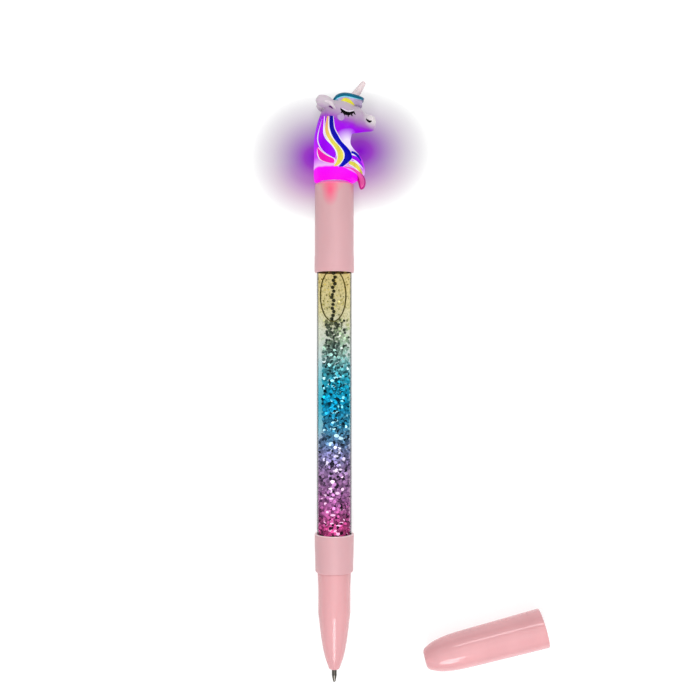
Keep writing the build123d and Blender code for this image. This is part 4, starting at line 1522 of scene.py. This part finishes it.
    def ear_folds(self, skin: bpy.types.Object) -> None:
        """Lay the light fold in each ear, a painted highlight, and the dark slit beside it, painted
        shade.

        Args:
            skin: the skin that they lie on.
        """
        fold_rows = ((-3.0, 25.6, 25.95), (-1.9, 25.15, 26.0), (-0.9, 24.4, 25.6),
                     (-0.1, 23.6, 24.7), (0.35, 23.2, 23.8))
        slit_rows = ((-1.75, 24.35, 24.5), (-1.25, 24.0, 24.5), (-0.75, 23.6, 24.15),
                     (-0.4, 23.4, 23.6))
        # Painted highlight: a light strip along the ear's fold.
        fold = self.both_sides(self.strip("ear_fold", fold_rows, skin, 0.14, 0.3, 0.0, True, 4.6))
        dress(fold, Painted("ear fold", srgb(226, 214, 222), 0.08).material())
        place(fold, "head", "head_skin")
        # Painted shade: a dark strip in the ear's slit.
        slit = self.both_sides(self.strip("ear_slit", slit_rows, skin, 0.1, 0.2, 0.0, True, 4.8))
        dress(slit, Painted("ear slit", srgb(104, 40, 120), 0.1).material())
        place(slit, "head", "head_skin")

    def lit_skin(self, name: str) -> bpy.types.Material:
        """Return the translucent skin with the light inside painted on: a bright magenta glow at
        its foot fading up the face into the skin's own pale colour, a whiter glow on the throat and
        a painted highlight on the muzzle.

        Args:
            name: the material's name.

        Returns:
            The finished material.
        """
        s = Shader(name).set(Roughness=0.45, Subsurface_Weight=0.25, Subsurface_Scale=0.0015,
                             Subsurface_Radius=(1.0, 0.5, 1.0), Emission_Strength=0.88,
                             Specular_IOR_Level=0.1)
        foot, top = HEAD(0, 0).y, HEAD(0, 27.5).y
        cloud = s.noise(180, 2, Vector((1, 0.4, 1)))
        wave = s.math("MULTIPLY", s.math("SUBTRACT", cloud, 0.5), 0.06)
        low = s.math("SUBTRACT", 1.0, s.along(1, HEAD(0, 7).y, HEAD(0, 12).y))
        slope = s.math("POWER", s.along(0, HEAD(1, 0).x, HEAD(8, 0).x), 1.5)
        drop = s.math("MULTIPLY", s.math("MULTIPLY", low, slope), 0.098)
        high = s.math("MULTIPLY", s.along(1, HEAD(0, 12).y, HEAD(0, 17).y),
                      s.along(1, HEAD(0, 24.2).y, HEAD(0, 22.2).y))
        lean = s.math("SUBTRACT", s.along(0, HEAD(-4, 0).x, HEAD(12, 0).x), 0.4)
        tilt = s.math("MULTIPLY", lean, 0.17)
        way = s.math("ADD", s.math("ADD", s.along(1, foot, top), wave), drop)
        way = s.math("ADD", way, s.math("MULTIPLY", high, tilt))
        # Mostly painted glow from the light inside, magenta at the foot; only the top stops are the
        # skin's own pale colour.
        skin = s.ramp(way, [(0.0, srgb(255, 0, 240)), (0.16, srgb(250, 0, 255)),
                            (0.18, srgb(240, 190, 252)), (0.22, srgb(224, 150, 248)),
                            (0.28, srgb(206, 60, 246)), (0.38, srgb(196, 20, 248)),
                            (0.5, srgb(170, 0, 246)), (0.645, srgb(163, 0, 234)),
                            (0.672, srgb(158, 36, 212)), (0.71, srgb(166, 104, 188)),
                            (0.76, srgb(176, 150, 184)), (0.88, srgb(198, 186, 196)),
                            (0.96, srgb(214, 205, 209))])
        # A whiter patch of painted glow on the throat and a painted highlight on the muzzle.
        throat = s.near(HEAD(4.5, 12.0, 3.0), Vector((5.0, 4.6, 9.0)) * MM)
        muzzle = s.near(HEAD(12.0, 19.9, 0.0), Vector((3.4, 3.4, 9.0)) * MM)
        lit = s.mix(s.node("MapRange", Value=throat, From_Max=0.7).outputs["Result"], skin,
                    srgb(246, 232, 255))
        lit = s.mix(s.node("MapRange", Value=muzzle, From_Max=0.6).outputs["Result"], lit,
                    srgb(226, 220, 220))
        # Painted glow: the lower head shines as emission with its base colour dimmed to match,
        # fading out towards the top.
        glow = s.node("MapRange", Value=s.along(1, foot, top), From_Min=0.55, From_Max=0.8,
                      To_Min=1.0, To_Max=0.0).outputs["Result"]
        dimmed = s.mix(glow, WHITE, (0.12, 0.12, 0.12))
        s.link(s.mix(1.0, lit, dimmed, "MULTIPLY"), "Base Color")
        s.link(s.mix(glow, (0.02, 0.01, 0.02), lit), "Emission Color")
        s.bump(s.noise(1500, 3), 0.12, 0.02)
        return s.material

    def build(self) -> None:
        """Model and dress the whole head."""
        skin = self.skin()
        dress(skin, self.lit_skin("lit vinyl skin"))
        place(skin, "head", "head_skin", ["head_shell"])
        self.mane(skin)
        self.face(skin)
        self.ear_folds(skin)
        roll = self.forelock()
        dress(roll, Painted("lilac forelock", srgb(190, 172, 206), 0.08).material())
        place(roll, "head", "hair_lilac", ["forelock"])
        self.brow(roll)
        horn = self.horn()
        dress(horn, Moulded("pale horn", srgb(234, 216, 218), roughness=0.4, subsurface=0.1,
                            specular=0.2).material())
        place(horn, "head", "horn_skin", ["horn"])
        curl = self.curl("chest_curl", 0.0, 0.0)
        dress(curl, Painted("lit curl", srgb(240, 92, 170), 0.5, srgb(244, 70, 190),
                            (0.5, 4.5)).material())
        place(curl, "head", "hair_pink", ["chest_pink_curl"])
        edge = self.curl("chest_curl_edge", 0.2, 0.45)
        dress(edge, Painted("dark curl edge", srgb(190, 0, 130), 0.5).material())
        place(edge, "head", "hair_pink")


@dataclass
class Workings:
    """The pieces inside, which stay as the CAD made them and take proper finishes."""

    stroke: float = 0.55

    def build(self) -> None:
        """Dress every CAD node that is still shown."""
        finishes = {
            ("metal_tip",): Metal("turned tip steel", srgb(118, 114, 108), 0.16).material(),
            ("tip_ball",): Metal("ground carbide", srgb(120, 118, 120), 0.15).material(),
            ("contact_spring", "return_spring", "led_leads"):
                Metal("drawn wire", srgb(170, 170, 170)).material(),
            ("button_cell_1", "button_cell_2", "button_cell_3"):
                Metal("plated can", srgb(206, 204, 200)).material(),
            ("bottom_contact", "contact_stud"):
                Metal("stamped brass", srgb(216, 180, 104)).material(),
            ("tip_holder", "refill_tail_plug", "battery_holder", "head_stem", "lower_plug",
             "upper_plug"):
                Moulded("plain white moulding", srgb(232, 228, 228), roughness=0.45).material(),
            ("refill_tube",): Moulded("milky tube", srgb(224, 226, 228), roughness=0.25).material(),
            ("gel_ink",):
                Moulded("black gel", srgb(18, 18, 24), roughness=0.2, subsurface=0.0).material(),
            ("grease_follower",):
                Moulded("amber grease", srgb(222, 200, 140), roughness=0.2).material(),
            ("circuit_board",): Moulded("green board", srgb(30, 110, 66), roughness=0.4).material(),
            ("chip_resistor",): Moulded("dark chip", srgb(30, 30, 32), roughness=0.5).material(),
            ("led",): Painted("lit lens", srgb(255, 120, 250), 1.0).material(),
        }
        for nodes, finish in finishes.items():
            for node in nodes:
                dress(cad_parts[node], finish)
        self.return_coil()

    def return_coil(self) -> None:
        """Make the return spring a piece of its own from its CAD shape, riding on the barrel."""
        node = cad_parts["return_spring"]
        coil = bpy.data.objects.new("return_coil", node.data.copy())
        bpy.context.scene.collection.objects.link(coil)
        coil.matrix_world = node.matrix_world
        outwards(coil)
        smooth(coil, 60)
        place(coil, "barrel", "spring_steel", ["return_spring"])
        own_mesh(coil)


@dataclass
class Studio:
    """The pale floor, soft lights and the camera that looks straight down."""

    camera_height: float = 306.85
    focal: float = 49.9
    aim: tuple[float, float] = (4.87, 102.9)
    floor_size: float = 30.0

    def floor(self) -> None:
        """Lay the floor, with the head's light pooled on it."""
        deselect()
        bpy.ops.mesh.primitive_plane_add(size=self.floor_size, location=(0, 0, 0))
        ground = named("floor")
        s = Shader("pale floor").set(Roughness=0.6, Specular_IOR_Level=0.0)
        left = s.near(HEAD(-6.0, 9.5, -PEN.z), Vector((21.5, 20.5, 12)) * MM)
        right = s.near(HEAD(8.0, 11.5, -PEN.z), Vector((23.5, 20, 12)) * MM)
        between = s.near(HEAD(2.0, 10.6, -PEN.z), Vector((23, 20.3, 12)) * MM)
        pool = s.math("MAXIMUM", s.math("MAXIMUM", left, right), between)
        upper = s.ramp(pool, [(0.0, (1.2, 1.2, 1.2)), (0.09, (1.03, 1.03, 1.03)),
                              (0.2, srgb(243, 241, 244)), (0.375, srgb(222, 214, 225)),
                              (0.57, srgb(193, 171, 205)), (0.72, srgb(170, 125, 196)),
                              (0.84, srgb(158, 68, 198)), (1.0, srgb(146, 18, 212))])
        lower = s.ramp(pool, [(0.0, (1.2, 1.2, 1.2)), (0.09, (1.03, 1.02, 1.03)),
                              (0.35, srgb(226, 204, 222)), (0.6, srgb(188, 110, 198)),
                              (0.84, srgb(190, 60, 200)), (1.0, srgb(200, 40, 210))])
        colour = s.mix(s.along(1, HEAD(0, -3).y, HEAD(0, 8).y), lower, upper)
        s.link(s.mix(1.0, colour, (0.34, 0.34, 0.34), "MULTIPLY"), "Base Color")
        s.link(colour, "Emission Color")
        s.set(Emission_Strength=0.58)
        dress(ground, s.material)

    def light(self, name: str, spot: Sequence[float], size: Sequence[float], power: float) -> None:
        """Hang one soft light that faces the middle of the layout.

        Args:
            name: the light's name.
            spot: where it hangs, in metres.
            size: its width and height, in metres.
            power: its power, in watts.
        """
        deselect()
        bpy.ops.object.light_add(type="AREA", location=spot)
        lamp = bpy.context.object
        lamp.name = name
        lamp.data.shape = "RECTANGLE"
        lamp.data.size, lamp.data.size_y = size
        lamp.data.energy = power
        lamp.rotation_euler = (-Vector(spot)).to_track_quat("-Z", "Y").to_euler()
        lamp.visible_camera = False

    def build(self) -> None:
        """Set the floor, the lights, the surroundings and the camera."""
        self.floor()
        self.light("front_box", (-0.03, -0.45, 0.46), (0.20, 0.30), 1.7)
        self.light("back_box", (0.06, 0.42, 0.50), (0.55, 0.11), 1.2)
        self.light("top_box", (0.0, 0.0, 0.9), (0.8, 0.8), 1.8)
        world = bpy.data.worlds.new("studio")
        world.use_nodes = True
        tree = world.node_tree
        way = tree.nodes.new("ShaderNodeSeparateXYZ")
        tree.links.new(tree.nodes.new("ShaderNodeTexCoord").outputs["Generated"], way.inputs[0])
        sky = tree.nodes.new("ShaderNodeValToRGB")
        sky.color_ramp.elements[0].color = (0.16, 0.16, 0.17, 1)
        sky.color_ramp.elements[1].position = 0.55
        tree.links.new(way.outputs[2], sky.inputs[0])
        tree.links.new(sky.outputs[0], tree.nodes["Background"].inputs["Color"])
        tree.nodes["Background"].inputs["Strength"].default_value = 0.5
        bpy.context.scene.world = world
        bpy.context.scene.view_settings.view_transform = "Standard"
        deselect()
        eye = ((PEN.x + self.aim[0]) * MM, (PEN.point + self.aim[1]) * MM, self.camera_height * MM)
        bpy.ops.object.camera_add(location=eye, rotation=(0, 0, 0))
        camera = bpy.context.object
        camera.name = "overhead"
        camera.data.lens = self.focal
        camera.data.sensor_width = 36
        camera.data.clip_start = 0.01
        bpy.context.scene.camera = camera


def main() -> None:
    """Build the pen, its cap and the studio."""
    logging.basicConfig(level=logging.INFO, format="%(message)s")
    Studio().build()
    Grip().build()
    Fittings().build()
    Cap().build()
    GlitterBarrel().build()
    UnicornHead().build()
    Workings().build()


if __name__ == "__main__":
    main()
